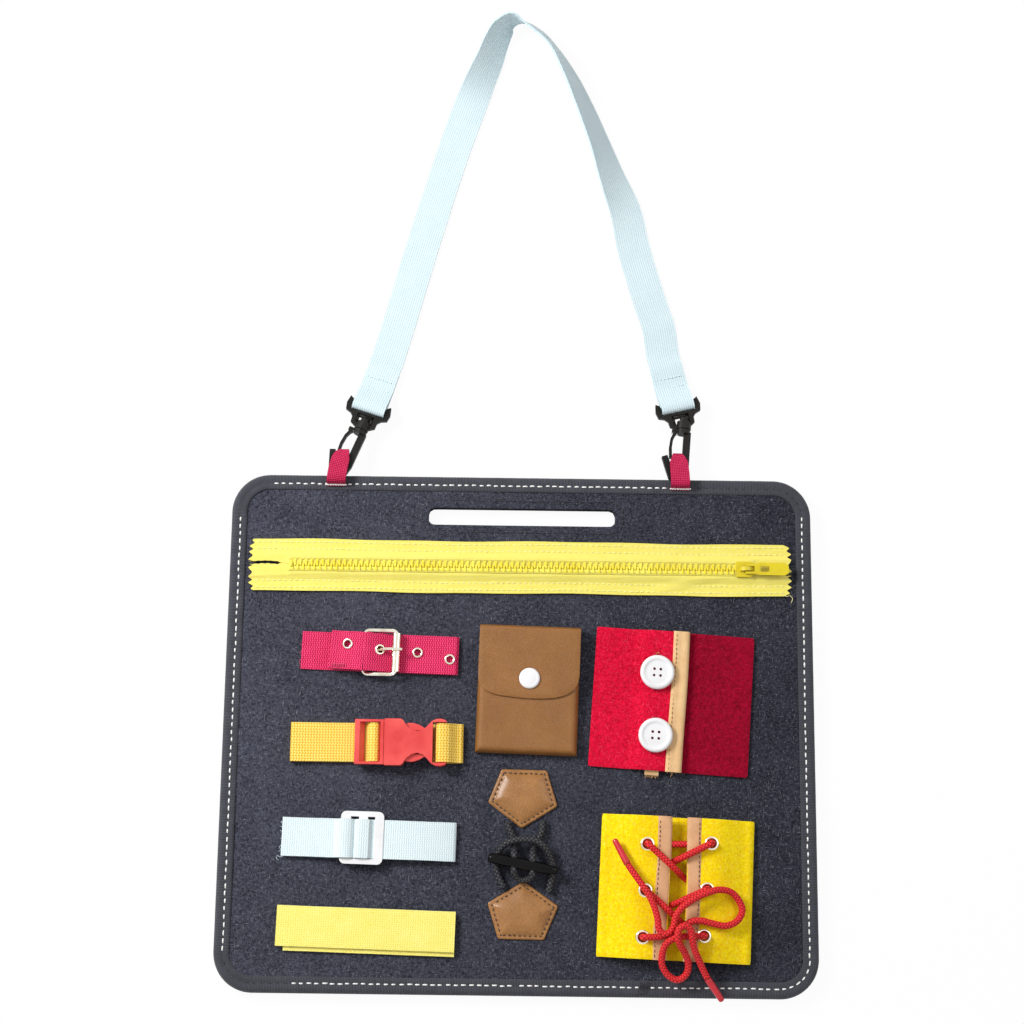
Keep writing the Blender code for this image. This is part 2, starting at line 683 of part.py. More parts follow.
def make_belt():
    frame = unit("belt", BELT_PLACE)
    base = node("belt_base_strap", ribbon(BELT_BASE_ROUTE, WEBBING, WEBBING_WIDTH), "red_webbing", frame)
    prong_y = BELT_EYELETS[1][1] * MM
    slot_half = PRONG_WIDTH / 2 + GAP
    (start, low), (end, high) = PRONG_SLOT
    cut(base, box((start, prong_y - slot_half, low), (end, prong_y + slot_half, high)))
    belt = node("belt_strap", ribbon(BELT_ROUTE, WEBBING, WEBBING_WIDTH), "red_webbing", frame)
    for number, (x, y, z, slope) in enumerate(BELT_EYELETS, 1):
        tilt = Matrix.Translation(mm(x, y, z)) @ Matrix.Rotation(math.radians(-slope), 4, "Y")
        cut(belt, moved(rod(EYELET_HOLE, 2.2 * WEBBING, (0, 0, 0)), tilt))
        node("belt_eyelet_%d" % number, moved(eyelet_mesh(WEBBING), tilt), "nickel", frame)

    hinge = empty("buckle_hinge", Matrix.Translation(mm(HINGE_BAR[0], 0, HINGE_BAR[1])), frame)
    slope = (ROLLER_BAR[1] - HINGE_BAR[1]) / (ROLLER_BAR[0] - HINGE_BAR[0])
    length = ROLLER_BAR[0] - HINGE_BAR[0]
    wire = rounded(length, 2 * BUCKLE_SIDE, BUCKLE_CORNER, (length / 2, 0), 4)
    bent = tube([mm(x, y, slope * x) for x, y in wire], BUCKLE_WIRE, True)
    node("belt_buckle_frame", bent, "nickel", hinge)
    roller = rod(ROLLER_RADIUS, WEBBING_WIDTH, mm(length, 0, slope * length), "Y", 24)
    turning = node("belt_roller", roller, "nickel", hinge)
    cut(turning, rod(ROLLER_BORE, 2 * WEBBING_WIDTH, mm(length, 0, slope * length), "Y", 24))
    route = [(x * MM - HINGE_BAR[0] * MM, prong_y, (z - HINGE_BAR[1]) * MM) for x, z in PRONG_ROUTE]
    prong = node("belt_prong", tube(route, PRONG_WIRE), "nickel", hinge)
    join(prong, rod(PRONG_KNUCKLE[1], PRONG_WIDTH, (0, prong_y, 0), "Y", 24))
    cut(prong, rod(PRONG_KNUCKLE[0], 3 * PRONG_WIDTH, (0, prong_y, 0), "Y", 24))


# The side-release clip. Outlines are half plans in millimetres

CLIP_WEBBING = 22 * MM
CLIP_BASE_ROUTE = (
    (-48.5, 0.95), (47.2, 0.95), (48.1, 1.75), (47, 2.6), (45.5, 2.95), (43, 4.6), (40.2, 6.9), (37.6, 7.55),
    (35.6, 7.55), (34, 6.9), (33.65, 5.5), (34, 4.1), (35.2, 3.45), (38, 3.35), (41, 2.7), (43.2, 2.5),
)
CLIP_LEFT_ROUTE = (
    (-48.5, 2.55), (-9, 2.65), (-6, 3.3), (-4.6, 4.9), (-3.9, 6.2), (-2.9, 6.95), (-1.5, 7.15), (0, 6.95),
    (1, 6.2), (1.25, 5.2), (1, 4.1), (0, 3.4), (-2.6, 3.2),
)
MALE_HEIGHTS = mm(3.6, 8.6)
MALE_SPAN = (-12.1, 4.1)
MALE_HALF = 12.5
MALE_RAIL = 1.3
MALE_RIM = ((-11.6, 3.6), (-8.5, 3.6), (-6.8, 4.6), (-9.4, 8.6), (-11.6, 8.6))
MALE_BAR = (mm(-2.8, -12, 4.2), mm(-0.1, 12, 5.8))
MALE_END = 1.9
TONGUE = (mm(4, -2, 4.6), mm(15.9, 2, 6.8))
ARM_HEIGHTS = mm(3.8, 7.5)
ARM_OUTLINE = (
    (4.4, 8.6), (14.9, 8.6), (15.4, 9.6), (17.4, 10.8), (20.8, 10.8), (24.4, 9.6), (27, 8), (26, 6.6),
    (14, 6.6), (4.4, 6.2),
)
FEMALE_HEIGHTS = mm(1.9, 9.4)
FEMALE_HALF = (
    (4.4, 12.6), (5.2, 13), (13.5, 13), (14.9, 12.2), (17, 9), (20, 6.8), (23.1, 6), (26, 6.8), (28.5, 9),
    (31, 11.8), (33.5, 13), (36, 13.2), (38.5, 12.6), (40.2, 10.9),
)
FEMALE_HOLLOW = (mm(4, -9.3, 3.4), mm(31, 9.3, 7.9))
FEMALE_SLOT = (mm(31.6, -11.4, 0), mm(35.2, 11.4, 12))
FEMALE_RECESS = (mm(31.6, -11.4, 0), mm(45, 11.4, 4.4))
FEMALE_OVER_BAR = (mm(35, -11.4, 6.6), mm(45, 11.4, 12))
FEMALE_BEHIND = (mm(37.6, -11.4, 0), mm(45, 11.4, 12))
FEMALE_WINDOWS = (mm(14.6, -15, 3.4), mm(29, 15, 7.9))


def make_clip():
    frame = unit("clip", CLIP_PLACE)
    node("clip_base_strap", ribbon(CLIP_BASE_ROUTE, WEBBING, CLIP_WEBBING), "yellow_webbing", frame)
    node("clip_strap_left", ribbon(CLIP_LEFT_ROUTE, WEBBING, CLIP_WEBBING), "yellow_webbing", frame)

    start, end = MALE_SPAN
    outer = rectangle(mm(start, -MALE_HALF), mm(end, MALE_HALF))
    near = MALE_HALF - MALE_RAIL
    inner = rectangle(mm(start + MALE_RAIL, -near), mm(end - MALE_END, near))
    male = node("clip_male", slab([outer, inner], *MALE_HEIGHTS), "coral_plastic", frame)
    rim = upright([[mm(x, z) for x, z in MALE_RIM]], 2 * (MALE_HALF - MALE_RAIL / 2) * MM)
    join(male, rim, box(*MALE_BAR), box(*TONGUE))
    for name, sign in (("clip_arm_upper", 1), ("clip_arm_lower", -1)):
        node(name, slab([[mm(x, sign * y) for x, y in ARM_OUTLINE]], *ARM_HEIGHTS), "coral_plastic", frame)

    plan = mirrored([mm(*point) for point in FEMALE_HALF])
    female = node("clip_female", slab([plan], *FEMALE_HEIGHTS), "coral_plastic", frame)
    cut(female, box(*FEMALE_HOLLOW), box(*FEMALE_SLOT), box(*FEMALE_RECESS))
    cut(female, box(*FEMALE_OVER_BAR), box(*FEMALE_BEHIND), box(*FEMALE_WINDOWS))


# The strap with the sliding buckle, and the strip of hook and loop

GLIDE_WEBBING = 21.5 * MM
GLIDE_ROUTE = (
    (-48.6, 2.55), (-20, 2.7), (-17.3, 5), (-16.9, 6.4), (-16, 7.05), (-10.6, 7.05), (-9, 6), (-8.1, 5.7),
    (-7.2, 6), (-5.7, 7), (-1.6, 7), (-0.2, 6.8), (0.7, 5.4), (1.2, 4.2), (1.9, 3), (3.2, 2.55),
    (47.1, 2.55), (48, 1.75), (47.2, 0.95), (-46, 0.95),
)
GLIDE_CENTRE = (-3.9, 0.6)
GLIDE_SIZE = (24, 29, 3)
GLIDE_HEIGHTS = mm(3.5, 6)
GLIDE_HALF_SLOT = 11.6
GLIDE_SLOTS = ((-10.4, -5.9), (-0.9, 3.1))
STRIP_WEBBING = 22.2 * MM
STRIP_LAYERS = (("hook_strip", (-45.1, 49.4), -2.4, 0.95), ("loop_strip", (-49.4, 49.4), 0, 2.55))


def make_glide():
    frame = unit("glide", GLIDE_PLACE)
    node("glide_strap", ribbon(GLIDE_ROUTE, WEBBING, GLIDE_WEBBING), "blue_webbing", frame)
    width, height, corner = mm(*GLIDE_SIZE)
    x, y = mm(*GLIDE_CENTRE)
    near, far = GLIDE_CENTRE[1] - GLIDE_HALF_SLOT, GLIDE_CENTRE[1] + GLIDE_HALF_SLOT
    slots = [rectangle(mm(start, near), mm(end, far)) for start, end in GLIDE_SLOTS]
    plate = slab([rounded(width, height, corner, (x, y), 4), *slots], *GLIDE_HEIGHTS)
    node("tri_glide", plate, "white_plastic", frame)


def make_strip():
    frame = unit("strip", STRIP_PLACE)
    for name, (start, end), shift, middle in STRIP_LAYERS:
        low = (start * MM, shift * MM - STRIP_WEBBING / 2, middle * MM - WEBBING / 2)
        high = (end * MM, shift * MM + STRIP_WEBBING / 2, middle * MM + WEBBING / 2)
        node(name, box(low, high), "hook_and_loop", frame)


# The pouch, whose flap has the cap of a snap

POUCH_SIZE = (57.3, 71.4)
POUCH_WALL = 1.1
POUCH_HEIGHTS = (0.3, 7.1)
POUCH_HOLLOW = (1.4, 6)
POUCH_MOUTH = 29.4
FLAP_LOW = 7.4
FLAP_EDGE = (
    (-28.65, 9.3), (-28, 3.8), (-25.4, 0), (-20, -2.7), (-8, -4.3), (4.9, -4.7), (16, -3.7), (23, -1),
    (27.2, 3.2), (28.65, 8.2),
)
SNAP_SPOT = (0.5, 6.5)
STUD_TURNING = ((0, 8.7), (1.5, 8.7), (1.5, 5.7), (4, 5.7), (4, 5), (0, 5))
STUD_HOLE = 1.8
CAP_TURNING = (
    (0, 10.3), (3.2, 10.2), (5.2, 9.8), (5.9, 9.2), (5.9, 8.8), (2.6, 8.8), (2.6, 7.3), (1.9, 7.3),
    (1.9, 9), (0, 9),
)
CAP_HOLE = 2.9


def make_pouch():
    frame = unit("pouch", POUCH_PLACE)
    side, end = POUCH_SIZE[0] / 2, POUCH_SIZE[1] / 2
    low, high = POUCH_HEIGHTS
    inner, floor_end = side - POUCH_WALL, POUCH_WALL - end
    body = node("pouch_body", box(mm(-side, -end, low), mm(side, end, high)), "brown_leather", frame)
    cut(body, box(mm(-inner, floor_end, POUCH_HOLLOW[0]), mm(inner, -floor_end, POUCH_HOLLOW[1])))
    cut(body, box(mm(-inner, POUCH_MOUTH, POUCH_HOLLOW[1] - POUCH_WALL), mm(inner, -floor_end, 2 * high)))
    spot = mm(*SNAP_SPOT)
    cut(body, rod(STUD_HOLE * MM, 3 * MM, (*spot, (high + POUCH_HOLLOW[1]) / 2 * MM)))
    stud = turned([mm(*point) for point in STUD_TURNING], closed=False)
    node("snap_stud", moved(stud, Matrix.Translation((*spot, 0))), "white_plastic", frame)

    hinge = empty("flap_hinge", Matrix.Translation(mm(0, end, FLAP_LOW)), frame)
    edge = [mm(x, y - end) for x, y in FLAP_EDGE]
    outline = [mm(-side, 0), *edge, mm(side, 0)]
    flap = node("pouch_flap", slab([outline], 0, LEATHER), "brown_leather", hinge)
    place = Matrix.Translation((spot[0], spot[1] - end * MM, -FLAP_LOW * MM))
    cut(flap, moved(rod(CAP_HOLE * MM, 4 * LEATHER, mm(0, 0, FLAP_LOW)), place))
    cap = turned([mm(*point) for point in CAP_TURNING], 20, closed=False)
    node("snap_cap", moved(cap, place), "white_plastic", hinge)


# The toggle. Places are millimetres from the board's middle line and the toggle's height on it

PATCH_UPPER = ((-9.4, 52.8), (16.1, 52.3), (22.2, 32.4), (2.3, 19.9), (-16.8, 34.1))
PATCH_LOWER = ((3.8, -9.1), (23, -22.5), (15.2, -41), (-10.2, -40.7), (-16.3, -21.2))
PATCH_CHAMFER = 0.09
PATCH_RING_SHARES = ((1, 0.3), (1, 1.4), (0.88, 1.3), (0.8, 2.1), (0.62, 3), (0.35, 3.6))
TOGGLE_TURN = -10.5
TOGGLE_HEIGHT = 7.8
TOGGLE_TURNING = (
    (0, 19.7), (1.2, 19.5), (2.1, 18.6), (2.6, 14), (3.1, 8), (3.3, 2), (3.3, -6), (3.1, -14), (2.7, -18),
    (1.6, -19.5), (0, -19.7),
)
TOGGLE_HOLES = (-1.9, 8.4)
TOGGLE_BORE = 2.25
CORD_RADIUS = 1.9 * MM
CORD_ROUTE = (
    (-6.2, 23.4, 2.3), (-4.6, 19.2, 2.3), (-2.8, 15.2, 2.3), (-2.1, 12.2, 2.4), (-1.9, 9, 3.8),
    (-1.9, 6.8, 6.2), (-1.9, 5, 7.6), (-1.9, 3.2, 7.8), (-1.9, -2.2, 7.8), (-1.8, -4.1, 7.4),
    (-1, -6, 5.8), (0.6, -7.7, 4.2), (3.2, -8.5, 3.6), (5.8, -8.1, 4.2), (7.5, -7.2, 5.8),
    (8.3, -5.8, 7.4), (8.4, -4.2, 7.8), (8.4, 2.2, 7.8), (8.4, 4, 7.6), (8.5, 6, 6.2),
    (8.9, 8.2, 3.8), (10, 11.2, 2.4), (12, 14.7, 2.3), (13.6, 19.2, 2.3), (13.8, 24.2, 2.3),
)
LOOP_ROUTE = (
    (-7.4, -12.8, 2.3), (-10.3, -6.9, 2.3), (-11.7, -1.8, 2.3), (-11.5, 3.7, 2.4), (-9.4, 8.2, 4.2),
    (-6, 11.4, 6.2), (-2, 13, 6.9), (4.5, 13.6, 6.9), (10.5, 12.8, 6.9), (14.6, 10, 6.3),
    (17.4, 5.7, 4.4), (19.2, 1.4, 2.8), (19.7, -3.3, 2.3), (18.8, -8.8, 2.3), (17.4, -15.1, 2.3),
)


def chamfered(corners, share):
    """An outline whose corners are cut off at this share of each side."""
    points = []
    for i, corner in enumerate(corners):
        corner = Vector(corner)
        for other in (corners[i - 1], corners[(i + 1) % len(corners)]):
            points.append(corner.lerp(Vector(other), share))
    return points


def make_patch(name, corners, frame):
    outline = chamfered(corners, PATCH_CHAMFER)
    middle = sum(outline, Vector((0, 0))) / len(outline)
    rings = []
    for share, height in PATCH_RING_SHARES:
        rings.append([Vector((*(middle.lerp(point, share) * MM), height * MM)) for point in outline])
    node(name, loft(rings), "brown_leather", frame)


def make_toggle():
    x, height, turn = TOGGLE_PLACE
    row = unit("toggle_row", (0, height, turn))
    make_patch("toggle_patch_upper", PATCH_UPPER, row)
    make_patch("toggle_patch_lower", PATCH_LOWER, row)
    for name, route in (("toggle_cord", CORD_ROUTE), ("toggle_loop", LOOP_ROUTE)):
        node(name, tube([mm(*point) for point in route], CORD_RADIUS), "black_cord", row)
    spot = Matrix.Translation(mm(x, 0, TOGGLE_HEIGHT))
    frame = empty("toggle_middle", spot @ Matrix.Rotation(math.radians(TOGGLE_TURN), 4, "Z"), row)
    lie_down = Matrix.Rotation(math.radians(90), 4, "Y")
    shaft = moved(turned([mm(*point) for point in TOGGLE_TURNING], 16, closed=False), lie_down)
    horn = node("toggle", shaft, "black_horn", frame)
    back = Matrix.Rotation(math.radians(-TOGGLE_TURN), 4, "Z")
    for hole in TOGGLE_HOLES:
        cut(horn, moved(rod(TOGGLE_BORE * MM, 20 * MM, mm(hole - x, 0, 0), "Y", 24), back))


# The panels with buttons. The flap is buttoned over the edge of the panel below it

BUTTON_PANEL = (-13, 44.95)
BUTTON_HEIGHT = 79.4 * MM
PANEL_HEIGHTS = mm(0.3, 1.8)
PANEL_BINDING = (-13, -5)
PANEL_BINDING_TOP = 2.6
FLAP_ROUTE = ((-44.95, 1.05), (-24, 1.05), (-20, 2), (-16.5, 3.6), (-13.5, 4.05), (6.9, 4.05))
BUTTONS = (("button_upper", (-9.5, 15.3)), ("button_lower", (-8.4, -20.2)))
BUTTONHOLE = (1.7, 12)
FLAP_BINDING = (-1.45, 7.85)
FLAP_BINDING_HEIGHTS = (2.2, 5.9)
FLAP_BINDING_HOLLOW = (3, 5.1)
FLAP_BINDING_END = 7.2
BUTTON_TURNING = (
    (0, 8.1), (5.2, 8.1), (6.2, 8.8), (8.2, 9), (9.5, 8.4), (9.75, 7.6), (9.2, 6.8), (7.5, 6.3),
    (1.2, 6.2), (1.2, 2.9), (0, 2.9),
)
BUTTON_HOLE = 0.95
BUTTON_HOLE_PLACE = 2


def make_buttons():
    frame = unit("buttons", BUTTON_PLACE)
    half = BUTTON_HEIGHT / 2
    low, high = PANEL_HEIGHTS
    left, right = mm(*BUTTON_PANEL)
    panel = node("button_panel", box((left, -half, low), (right, half, high)), "red_felt", frame)
    cover = GAP / 2
    start, end = mm(*PANEL_BINDING)
    join(panel, box((start - cover, -half - cover, low - cover), (end, half + cover, PANEL_BINDING_TOP * MM)))
    flap = node("button_flap", ribbon(FLAP_ROUTE, PANEL_FELT, BUTTON_HEIGHT), "red_felt", frame)
    width, height = BUTTONHOLE
    for name, (x, y) in BUTTONS:
        cut(flap, box(mm(x - width, y - height, 1), mm(x + width, y + height, 8)))
        spot = empty(name + "_shank", Matrix.Translation(mm(x, y, 0)), frame)
        disc = turned([mm(*point) for point in BUTTON_TURNING], 20, closed=False)
        button = node(name, disc, "white_plastic", spot)
        for across in (-1, 1):
            for up in (-1, 1):
                place = mm(across * BUTTON_HOLE_PLACE, up * BUTTON_HOLE_PLACE, 7)
                cut(button, rod(BUTTON_HOLE * MM, 8 * MM, place, "Z", 8))
    first, last = mm(*FLAP_BINDING)
    low, high = mm(*FLAP_BINDING_HEIGHTS)
    binding = box((first, -half - GAP, low), (last, half + GAP, high))
    trim = node("button_flap_binding", binding, "beige_binding", frame)
    low, high = mm(*FLAP_BINDING_HOLLOW)
    cut(trim, box((first - GAP, -BUTTON_HEIGHT, low), (FLAP_BINDING_END * MM, BUTTON_HEIGHT, high)))


# The panel with the lace. The lace is one cord, from one tip to the other

LACE_SIZE = (85.2, 78.1)
LACE_PANEL_ROUTE = (
    (-4.2, 8), (-23, 8), (-31, 5.4), (-37.5, 3.2), (-40.6, 2.85), (-41.8, 2), (-41.2, 1.05), (41.2, 1.05),
    (41.8, 2), (40.6, 2.85), (37.5, 3.2), (31, 5.4), (23, 8), (5.3, 8),
)
LACE_BINDINGS = ((-11.9, -3.9), (5, 13))
LACE_BINDING_HEIGHTS = (7, 9)
LACE_EYELETS = (
    (-17.1, 23.4), (18.4, 25.6), (-17.25, -1.9), (16.8, 0.45), (-17.7, -27.3), (15.95, -24.8),
)
LACE_SHEET_MIDDLE = 8
LACE_EYELET = mm(2.4, 2.7, 4)
LACE_EYELET_HOLE = 3 * MM
LACE_RADIUS = 1.9 * MM
UNDER = 4.4
OVER = 11.8
END_1 = (
    (-27.7, 11.2, 13.6), (-23.6, 5.8, 14.8), (-19.6, 0.6, 15.8), (-15.2, -5.4, 16.1), (-12, -12.2, 16.1),
    (-10.2, -18.2, 16), (-9.6, -22.2, 15.9), (-7.2, -24.8, 16), (-3.6, -23.9, 16.5), (-1.6, -20.3, 16.9),
)
RIGHT_LOOP = (
    (-0.9, -15.9, 17), (1.5, -11.6, 17), (5.6, -7.7, 16.7), (11, -4.2, 16.4), (16, -1.8, 16),
    (22.4, 0.3, 14), (30, -0.6, 10.4), (34.9, -5.5, 8.6), (36.5, -10.2, 8.2), (33.9, -15.7, 8.8),
    (27.9, -18.7, 10.4), (19.7, -17.9, 12), (13.5, -16.8, 12.7), (9, -17.3, 12.9), (5, -19.6, 12.6),
    (0, -23, 12.1), (-6, -25.8, 11.8), (-12, -27, 11.8),
)
LEFT_BOTTOM_TO_RIGHT_MIDDLE = (
    (-13, -20, UNDER), (-7, -12.5, UNDER), (-3.3, -9.8, 4.7), (-1.3, -8.7, 6.6), (1.4, -7.4, 9.8),
    (5, -5.5, 11.6), (11, -2.5, OVER),
)
RIGHT_MIDDLE_TO_LEFT_TOP = (
    (12, 2, UNDER), (6.3, 4.9, UNDER), (3.3, 6.7, 4.9), (1.6, 8, 7), (-0.5, 9.7, 10), (-4, 12.6, 11.6),
    (-11.5, 18.8, OVER),
)
RIGHT_TOP_TO_LEFT_MIDDLE = (
    (11, 21.6, OVER), (5, 18.3, 11.6), (1.5, 16.4, 9.8), (-1.2, 15, 6.6), (-3.3, 13.9, 4.7),
    (-7, 11.6, UNDER), (-12, 5, UNDER),
)
LEFT_MIDDLE_TO_RIGHT_BOTTOM = (
    (-11, -6.8, OVER), (-4, -12.4, 11.6), (-0.8, -14.9, 10), (1.2, -16.4, 7), (3.1, -17.8, 4.9),
    (6, -19.8, UNDER), (11, -22.6, UNDER),
)
BOTTOM_LOOP = (
    (11.3, -25.3, 12.2), (7.4, -25.6, 14), (3.4, -25.9, 15.8), (-0.8, -27, 16.4), (-4.6, -29.6, 15),
    (-6.7, -34.4, 12.6), (-6.7, -41.4, 10.4), (-2.6, -47.2, 8.4), (2.4, -49.1, 7.8), (6.8, -45.9, 8.8),
    (7.6, -40.4, 11), (5.2, -34.6, 14.4), (2.2, -30.4, 18.2),
)
END_2 = (
    (0.4, -26.2, 20.6), (1, -22.2, 21), (4.2, -20, 20.8), (7.4, -22, 20), (8.6, -26.4, 18.6), (10, -31.6, 16),
    (12.6, -36.8, 13.2), (15.4, -42.2, 10.6), (18.4, -47.2, 8.4),
)
AGLETS = (
    ("aglet_1", (-27.9, 11.5, 13.5), (-35.6, 24.7, 10.2)),
    ("aglet_2", (18.6, -47.6, 8.2), (27.4, -59, 4.4)),
)
AGLET_RADII = mm(2, 1.7)
AGLET_START = 0.03


def up_through(number):
    """The lace's way up through an eyelet."""
    x, y = LACE_EYELETS[number - 1]
    return ((x, y, UNDER), (x, y, UNDER + 1.6), (x, y, OVER - 1.6), (x, y, OVER))


def make_lace_panel(frame):
    width, height = mm(*LACE_SIZE)
    panel = node("lace_panel", ribbon(LACE_PANEL_ROUTE, PANEL_FELT, height), "yellow_felt", frame)
    cover = GAP / 2
    low, high = mm(*LACE_BINDING_HEIGHTS)
    for start, end in LACE_BINDINGS:
        join(panel, box((start * MM, -height / 2 - cover, low), (end * MM, height / 2 + cover, high)))
    bore, barrel, rim = LACE_EYELET
    for number, (x, y) in enumerate(LACE_EYELETS, 1):
        spot = Matrix.Translation(mm(x, y, LACE_SHEET_MIDDLE))
        cut(panel, moved(rod(LACE_EYELET_HOLE, 4 * PANEL_FELT, (0, 0, 0)), spot))
        ring = moved(eyelet_mesh(PANEL_FELT, bore, barrel, rim), spot)
        node("lace_eyelet_%d" % number, ring, "nickel", frame)


def make_lace(frame):
    route = END_1 + RIGHT_LOOP + up_through(5)[::-1] + LEFT_BOTTOM_TO_RIGHT_MIDDLE + up_through(4)[::-1]
    route += RIGHT_MIDDLE_TO_LEFT_TOP + up_through(1)[::-1] + up_through(2) + RIGHT_TOP_TO_LEFT_MIDDLE
    route += up_through(3) + LEFT_MIDDLE_TO_RIGHT_BOTTOM + up_through(6) + BOTTOM_LOOP + END_2
    node("lace", tube([mm(*point) for point in route], LACE_RADIUS), "red_cord", frame)
    for name, start, end in AGLETS:
        start, end = Vector(mm(*start)), Vector(mm(*end))
        start = start.lerp(end, AGLET_START)
        run = end - start
        tip = rod(AGLET_RADII[0], run.length, (0, 0, 0), "Z", 12, AGLET_RADII[1])
        place = Matrix.Translation((start + end) / 2) @ run.to_track_quat("Z", "Y").to_matrix().to_4x4()
        node(name, moved(tip, place), "red_aglet", frame)


clear_scene()
PARTS = collection("dressing_skills_board")
CUTTERS = collection("cutters", hidden=True)
make_board()
make_tabs()
for hook_side, hook_place in zip(("left", "right"), HOOK_PLACES):
    make_hook(hook_side, hook_place)
make_shoulder_strap()
make_zip()
make_belt()
make_clip()
make_glide()
make_strip()
make_pouch()
make_toggle()
make_buttons()
lace_frame = unit("lace_place", LACE_PLACE)
make_lace_panel(lace_frame)
make_lace(lace_frame)
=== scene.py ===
"""Dresses the dressing skills board: felt, webbing, zip, leather, plastic, metal, threads and lace."""

import math
import random

import bmesh
import bpy
from mathutils import Matrix, Vector


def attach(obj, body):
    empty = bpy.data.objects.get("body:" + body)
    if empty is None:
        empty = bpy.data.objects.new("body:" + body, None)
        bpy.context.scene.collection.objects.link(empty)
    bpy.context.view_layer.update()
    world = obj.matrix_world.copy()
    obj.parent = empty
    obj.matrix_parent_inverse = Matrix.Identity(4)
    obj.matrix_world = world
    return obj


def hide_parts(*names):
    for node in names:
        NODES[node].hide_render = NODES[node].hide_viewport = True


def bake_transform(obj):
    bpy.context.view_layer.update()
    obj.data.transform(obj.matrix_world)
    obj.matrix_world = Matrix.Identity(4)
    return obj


MM = 0.001
WEB = 1.3
STRAP_WIDTH, BELT_WIDTH, CLIP_WIDTH, GLIDE_WIDTH, STRIP_WIDTH = 19.6, 21.8, 22, 21.5, 22.2
CORD_RADIUS, LACE_RADIUS = 1.9, 1.85
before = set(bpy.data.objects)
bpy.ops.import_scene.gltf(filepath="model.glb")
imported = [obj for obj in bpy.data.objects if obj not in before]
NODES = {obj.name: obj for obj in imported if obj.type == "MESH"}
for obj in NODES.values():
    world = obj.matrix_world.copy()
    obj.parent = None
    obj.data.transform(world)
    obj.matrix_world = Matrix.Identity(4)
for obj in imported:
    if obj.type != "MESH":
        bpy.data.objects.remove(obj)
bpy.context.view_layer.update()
FELT_TOP = 7.1


def mm(*sizes):
    return tuple(size * MM for size in sizes)


def moved(x, y, z):
    return Matrix.Translation(mm(x, y, z))


def spin(angle, axis):
    """A turn by an angle in degrees."""
    return Matrix.Rotation(math.radians(angle), 4, axis)


def place(x, y, turn):
    """The frame of a fastener on the felt, from millimetres and degrees."""
    return moved(x, y, FELT_TOP) @ spin(turn, "Z")


ZIP = place(0, 92.9, 0)
BELT = place(-79.4, 42.35, -1.67)
CLIP = place(-79.9, -8.6, 0)
GLIDE = place(-82.8, -62.4, -1.27)
STRIP = place(-83.4, -111.2, -1.48)
POUCH = place(5.0, 21.6, -1.6)
BOARD = place(0, 0, 0)
BUTTON = place(86.45, 16.75, -3.6)
LACE = place(88.1, -87.35, -2.4)

# The camera, at the photograph's place


ELEVATION, ROLL = 77.764, 0.7246
AIM, AWAY = (-0.005409, 0.126447, 0.004), 1.15
SENSOR_WIDTH, FOCAL_PIXELS, PHOTO_PIXELS = 36, 1981.9, 1024


def make_camera():
    elevation, roll = math.radians(ELEVATION), math.radians(ROLL)
    back = Vector((0, -math.cos(elevation), math.sin(elevation)))
    right = Vector((1, 0, 0))
    up = Vector((0, math.sin(elevation), math.cos(elevation)))
    across = math.cos(roll) * right + math.sin(roll) * up
    upwards = math.cos(roll) * up - math.sin(roll) * right
    data = bpy.data.cameras.new("camera")
    data.sensor_width = SENSOR_WIDTH
    data.lens = SENSOR_WIDTH * FOCAL_PIXELS / PHOTO_PIXELS
    camera = bpy.data.objects.new("camera", data)
    turn = Matrix((across, upwards, back)).transposed().to_4x4()
    camera.matrix_world = Matrix.Translation(Vector(AIM) + back * AWAY) @ turn
    bpy.context.scene.collection.objects.link(camera)
    bpy.context.scene.camera = camera


def lamp(name, spot, aim, size, power):
    data = bpy.data.lights.new(name, "AREA")
    data.shape = "DISK"
    data.size = size
    data.energy = power
    made = bpy.data.objects.new(name, data)
    run = Vector(aim) - Vector(spot)
    made.matrix_world = Matrix.Translation(spot) @ run.to_track_quat("-Z", "Y").to_matrix().to_4x4()
    bpy.context.scene.collection.objects.link(made)


# Materials. Each is a graph of nodes, whose textures lie in metres on the piece


def linear(code):
    """A colour from its six hexadecimal digits."""
    shares = [int(code[i : i + 2], 16) / 255 for i in (0, 2, 4)]
    return (*[c / 12.92 if c < 0.04045 else ((c + 0.055) / 1.055) ** 2.4 for c in shares], 1)


class Nodes:
    """A tree of nodes that are made by short calls."""

    def __init__(self, owner):
        owner.use_nodes = True
        self.nodes = owner.node_tree.nodes
        self.links = owner.node_tree.links

    def set(self, socket, value):
        if isinstance(value, bpy.types.NodeSocket):
            self.links.new(value, socket)
        elif value is not None:
            socket.default_value = value

    def math(self, operation, first, second=None, third=None):
        made = self.nodes.new("ShaderNodeMath")
        made.operation = operation
        for socket, value in zip(made.inputs, (first, second, third)):
            self.set(socket, value)
        return made.outputs[0]

    def split(self, vector):
        made = self.nodes.new("ShaderNodeSeparateXYZ")
        self.set(made.inputs[0], vector)
        return made.outputs

    def seen(self):
        """One for rays that show a thing as it is, and none for the light that it gives."""
        path = self.nodes.new("ShaderNodeLightPath").outputs
        plain = self.math("MAXIMUM", path["Is Camera Ray"], path["Is Glossy Ray"])
        return self.math("MAXIMUM", plain, path["Is Transmission Ray"])


